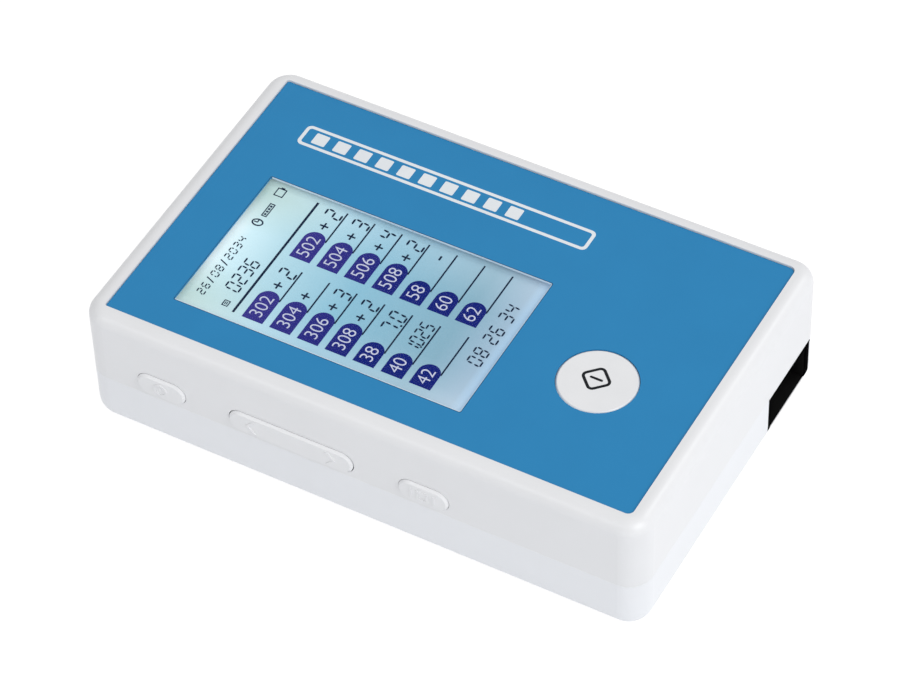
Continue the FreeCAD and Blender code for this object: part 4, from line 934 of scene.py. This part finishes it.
# %% Plain inner finishes
GUIDE_MIRROR = 0.10
PLAIN = {
    "guide_black": ((0.003, 0.003, 0.003), (0.006, 0.006, 0.006), (0.50, 0.60), 8, 0.30, 0.006, 0.0,
                    ["tray_guide", "strip_tray", "optical_head"]),
    "frame_black": ((0.010, 0.010, 0.011), (0.015, 0.015, 0.016), (0.45, 0.55), 7, 0.25, 0.005, 0.0,
                    ["lcd_frame", "rocker_fulcrum"]),
    "switch_black": ((0.012, 0.012, 0.013), (0.020, 0.020, 0.021), (0.38, 0.46), 3, 0.20, 0.004,
                     0.0, ["start_switch", "key_switches", "buzzer", "home_switch"]),
    "chip_black": ((0.016, 0.016, 0.018), (0.024, 0.024, 0.026), (0.55, 0.65), 2, 0.12, 0.006, 0.0,
                   ["board_chips", "colour_sensor"]),
    "shield_tin": ((0.62, 0.62, 0.60), (0.70, 0.70, 0.68), (0.28, 0.40), 3, 0.20, 0.003, 1.0,
                   ["radio_module"]),
    "plug_ivory": ((0.74, 0.70, 0.58), (0.80, 0.76, 0.65), (0.36, 0.44), 2, 0.15, 0.003, 0.0,
                   ["battery_connector", "ribbon_connector"]),
    "socket_steel": ((0.60, 0.60, 0.61), (0.68, 0.68, 0.69), (0.22, 0.32), 3, 0.15, 0.002, 1.0,
                     ["usb_socket"]),
    "foot_rubber": ((0.040, 0.041, 0.043), (0.055, 0.056, 0.058), (0.66, 0.78), 3, 0.25, 0.02, 0.0,
                    ["rubber_feet"]),
    "tile_white": ((0.83, 0.83, 0.82), (0.87, 0.87, 0.86), (0.20, 0.26), 3, 0.30, 0.001, 0.0,
                   ["calibration_tile"]),
    "gear_acetal": ((0.80, 0.79, 0.74), (0.86, 0.85, 0.80), (0.30, 0.38), 3, 0.20, 0.003, 0.0,
                    ["drive_gear"]),
    "steel": ((0.52, 0.52, 0.53), (0.60, 0.60, 0.61), (0.24, 0.34), 2, 0.12, 0.002, 1.0,
              ["gear_axle", "axle_clip", "motor_shaft"]),
    "pinion_brass": ((0.66, 0.46, 0.17), (0.74, 0.53, 0.22), (0.24, 0.34), 2, 0.12, 0.002, 1.0,
                     ["motor_pinion"]),
    "light_guide": ((0.80, 0.84, 0.86), (0.86, 0.90, 0.92), (0.18, 0.26), 10, 0.40, 0.002, 0.0,
                    ["lcd_backlight"]),
}
finishes = {}
for name, (dark, light, rough, drift, grain, depth, metal, names) in PLAIN.items():
    mirror = GUIDE_MIRROR if name == "guide_black" else PLAIN_MIRROR
    finishes[name] = grained(name, dark, light, rough, drift, grain, depth, metal, mirror=mirror)
    dress(finishes[name], *names)

# %% [markdown]
# The screws are small, but four of them can be seen from below, deep in their holes. The CAD has
# each as a plain head and shank. Here each gets a head with a rounded edge and a cross recess, and
# a shank with ridges for its thread. The sizes and places are read off the CAD screws: a mesh is
# split into its separate screws, and the end with the greater reach is the head.

# %% Screws with cross recesses
SCREW_SIDES = 24
HEAD_PROFILE = ((0.78, 0.0), (0.90, 0.06), (0.97, 0.20), (0.99, 0.45), (0.99, 1.0))
HEAD_SHARE = 0.9
CROSS_LONG, CROSS_WIDE, CROSS_DEEP, CROSS_TAPER = 0.58, 0.15, 0.55, 0.8
THREAD_PITCH, THREAD_DEEP, RIDGE_REACH, TIP_REACH = 0.8, 0.16, 0.99, 0.6


def separate_points(mesh):
    """The points of each separate piece of a mesh, in order of place."""
    shape = bmesh.new()
    shape.from_mesh(mesh)
    bmesh.ops.remove_doubles(shape, verts=shape.verts, dist=0.001 * MM)
    waiting, groups = set(shape.verts), []
    while waiting:
        group, edge = [], [waiting.pop()]
        while edge:
            point = edge.pop()
            group.append(point.co.copy())
            for line in point.link_edges:
                other = line.other_vert(point)
                if other in waiting:
                    waiting.discard(other)
                    edge.append(other)
        groups.append(group)
    shape.free()
    return sorted(groups, key=lambda group: (min(p.x for p in group), min(p.y for p in group)))


def measure_screw(points):
    """Middle, head end, shoulder, tip, head radius and shank radius of an upright screw."""
    span = [(min(p[i] for p in points), max(p[i] for p in points)) for i in range(3)]
    middle = Vector(((span[0][0] + span[0][1]) / 2, (span[1][0] + span[1][1]) / 2, 0))
    reach = {p.z: 0.0 for p in points}
    for p in points:
        reach[p.z] = max(reach[p.z], (Vector((p.x, p.y, 0)) - middle).length)
    low, high = span[2]
    head_end, tip = (low, high) if reach[low] > reach[high] else (high, low)
    wide = [z for z, r in reach.items() if r > HEAD_SHARE * reach[head_end]]
    shoulder = max(wide) if head_end == low else min(wide)
    return middle, head_end, shoulder, tip, reach[head_end], reach[tip]


def add_screw(shape, middle, head_end, shoulder, tip, head_reach, shank_reach):
    """Adds one screw to a mesh in the making."""
    def circle(radius, z):
        return [shape.verts.new(middle + Vector((radius * cos(2 * pi * i / SCREW_SIDES),
                                                 radius * sin(2 * pi * i / SCREW_SIDES), z)))
                for i in range(SCREW_SIDES)]

    deep = shoulder - head_end
    rings = [circle(head_reach * r, head_end + deep * t) for r, t in HEAD_PROFILE]
    ridges = max(2, int(abs(tip - shoulder) / (THREAD_PITCH * MM)))
    step = (tip - shoulder) / ridges
    for i in range(ridges):
        rings.append(circle(shank_reach * (1 - THREAD_DEEP), shoulder + step * i))
        rings.append(circle(shank_reach * RIDGE_REACH, shoulder + step * (i + 0.5)))
    rings.append(circle(shank_reach * TIP_REACH, tip))
    for first, second in zip(rings, rings[1:]):
        skin(shape, first, second)
    shape.faces.new(rings[-1])
    a, w = CROSS_LONG * head_reach, CROSS_WIDE * head_reach
    cross = [(a, w), (w, w), (w, a), (-w, a), (-w, w), (-a, w),
             (-a, -w), (-w, -w), (-w, -a), (w, -a), (w, -w), (a, -w)]
    mouth, base = [[shape.verts.new(middle + Vector((x * small, y * small, head_end + deep * down)))
                    for x, y in cross] for small, down in ((1.0, 0.0), (CROSS_TAPER, CROSS_DEEP))]
    skin(shape, mouth, base)
    shape.faces.new(base)
    rim = [shape.edges.get((loop[i - 1], loop[i]))
           for loop in (rings[0], mouth) for i in range(len(loop))]
    bmesh.ops.triangle_fill(shape, edges=rim, use_beauty=True)


for name in ("case_screws", "board_screws", "guide_screws", "plate_screws", "head_screws"):
    shape = bmesh.new()
    for points in separate_points(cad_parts[name].data):
        add_screw(shape, *measure_screw(points))
    bmesh.ops.recalc_face_normals(shape, faces=shape.faces)
    screws = as_mesh(shape)
    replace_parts(keep("cross_" + name, screws, finishes["steel"], "housing"), name)

# %% [markdown]
# The socket in the other end has a blade with thin gilt contacts above and below. They are bars
# again, a few hundredths of a millimetre proud, and they make the opening read as a socket and not
# as a slot.

# %% Contacts of the socket
CONTACTS, CONTACT_WIDE, CONTACT_PITCH = 8, 0.30, 0.56
CONTACT_FRONT, CONTACT_BACK = 1.0, 4.6
CONTACT_PROUD, CONTACT_SINK, BLADE_HALF = 0.04, 0.02, 0.4
socket_low, socket_high = [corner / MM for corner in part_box("usb_socket")]
socket_y = (socket_low.y + socket_high.y) / 2
socket_z = (socket_low.z + socket_high.z) / 2
first_y = socket_y - CONTACT_PITCH * (CONTACTS - 1) / 2 - CONTACT_WIDE / 2
contact_starts = [first_y + CONTACT_PITCH * i for i in range(CONTACTS)]
contact_bars = [bar(socket_low.x + CONTACT_FRONT, start, socket_low.x + CONTACT_BACK,
                    start + CONTACT_WIDE) for start in contact_starts]
gilt = grained("contact_gilt", (0.78, 0.56, 0.22), (0.84, 0.62, 0.28),
               (0.24, 0.34), drift_mm=1, grain_mm=0.1, depth_mm=0.001, metal=1.0)
levels = [(socket_z + BLADE_HALF - CONTACT_SINK, socket_z + BLADE_HALF + CONTACT_PROUD),
          (socket_z - BLADE_HALF - CONTACT_PROUD, socket_z - BLADE_HALF + CONTACT_SINK)]
keep("socket_contacts", joined([prisms(contact_bars, on_plan, *level) for level in levels]),
     gilt, "housing")

# %% [markdown]
# A few surfaces inside have a pattern of their own. The motor's can is drawn steel, with fine
# lines round it. The zinc plate has the large bright flakes that a hot zinc bath leaves. The foil
# of the cell is creased, and the foam under it is full of pores.

# %% Drawn, flaked, creased and porous surfaces
motor_can = grained("motor_can", (0.50, 0.51, 0.52), (0.62, 0.63, 0.64), (0.22, 0.34),
                    drift_mm=4, grain_mm=0.25, depth_mm=0.004, metal=1.0, stretch=(0.06, 1, 1))
dress(motor_can, "drive_motor")


def celled(name, dark, light, rough, cell_mm, depth_mm, metal=0.0):
    """A surface of small cells, each a little lighter or darker than the next."""
    finish, tree, shader = new_finish(name)
    cells = add_node(tree, "ShaderNodeTexVoronoi", {
        "Vector": place_of(tree), "Scale": 1 / (cell_mm * MM)}).outputs
    shade = add_node(tree, "ShaderNodeSeparateColor", {"Color": cells["Color"]}).outputs[0]
    fill(shader, {"Base Color": between(tree, shade, dark, light),
                  "Roughness": spread(tree, shade, *rough),
                  "Normal": emboss(tree, cells["Distance"], depth_mm), "Metallic": metal})
    return finish


dress(celled("plate_zinc", (0.48, 0.50, 0.52), (0.66, 0.68, 0.70), (0.24, 0.42), 3.0, 0.01, 1.0),
      "drive_plate")
dress(celled("cell_foil", (0.60, 0.61, 0.63), (0.74, 0.75, 0.77), (0.20, 0.34), 5.0, 0.20, 1.0),
      "battery_cell")
dress(celled("foam_pad", (0.035, 0.035, 0.037), (0.075, 0.075, 0.078), (0.85, 0.95), 0.6, 0.25),
      "battery_pad")

# %% [markdown]
# The boards are glass cloth under green lacquer, with copper tracks that show through as lighter
# lines. A brick pattern of two sizes stands in for the tracks. The flat cable and the contact
# strips have fine stripes: white with dark conductors in one, black and white layers in the other.

# %% Boards, cable and contact strips
TRACK_LIFT, TRACK_WIDE, TRACK_DEEP, LACQUER_ROUGH = 1.12, 0.03, 0.02, 0.28
STRIPE_EDGE = (0.42, 0.58)


def lacquered(name, base, track, cell_mm):
    """Green lacquer over lighter tracks."""
    finish, tree, shader = new_finish(name)
    bricks = add_node(tree, "ShaderNodeTexBrick", {
        "Vector": place_of(tree), "Color1": solid(base),
        "Color2": solid([c * TRACK_LIFT for c in base]), "Mortar": solid(track),
        "Scale": 1 / (cell_mm * MM), "Mortar Size": TRACK_WIDE}).outputs
    fill(shader, {"Base Color": bricks["Color"], "Roughness": LACQUER_ROUGH,
                  "Normal": emboss(tree, bricks["Fac"], TRACK_DEEP)})
    return finish


def striped(name, first, second, pitch_mm, direction, rough):
    """Even stripes that follow one direction of the box. At this scale a wave fills one pitch."""
    finish, tree, shader = new_finish(name)
    waves = add_node(tree, "ShaderNodeTexWave", {
        "Vector": place_of(tree), "Scale": 1 / (pitch_mm * MM) / pi, "Distortion": 0.0},
        bands_direction=direction).outputs["Fac"]
    edge = spread(tree, waves, 0, 1, *STRIPE_EDGE)
    fill(shader, {"Base Color": between(tree, edge, first, second), "Roughness": rough})
    return finish


dress(lacquered("circuit_board", (0.010, 0.105, 0.045), (0.045, 0.210, 0.095), 4.0),
      "main_board", "sensor_board")
dress(striped("ribbon_white", (0.74, 0.74, 0.72), (0.42, 0.42, 0.41), 0.5, "X", 0.42),
      "sensor_ribbon")
dress(striped("contact_rubber", (0.03, 0.03, 0.03), (0.70, 0.69, 0.66), 0.25, "Y", 0.62),
      "lcd_contact_strips")

# %% [markdown]
# The lens and the two lamps of the reading head are clear. They let light through with a little
# colour, and a fine mottle varies that colour.

# %% Clear parts of the reading head
RIPPLE_SCALE, CLEARNESS = 900.0, 0.9


def clear(name, dark, light, rough, bend):
    """A clear solid that bends light."""
    finish, tree, shader = new_finish(name)
    fill(shader, {"Base Color": between(tree, mottle(tree, RIPPLE_SCALE), dark, light),
                  "Roughness": rough, "IOR": bend, "Transmission Weight": CLEARNESS})
    return finish


dress(clear("lens_glass", (0.90, 0.94, 0.95), (0.97, 0.98, 0.98), 0.03, 1.52), "sensor_lens")
dress(clear("lamp_clear", (0.90, 0.90, 0.86), (0.96, 0.96, 0.93), 0.10, 1.50), "illumination_leds")

# %% [markdown]
# Last, the script says that the scene is ready.

# %% End
print("scene ready")
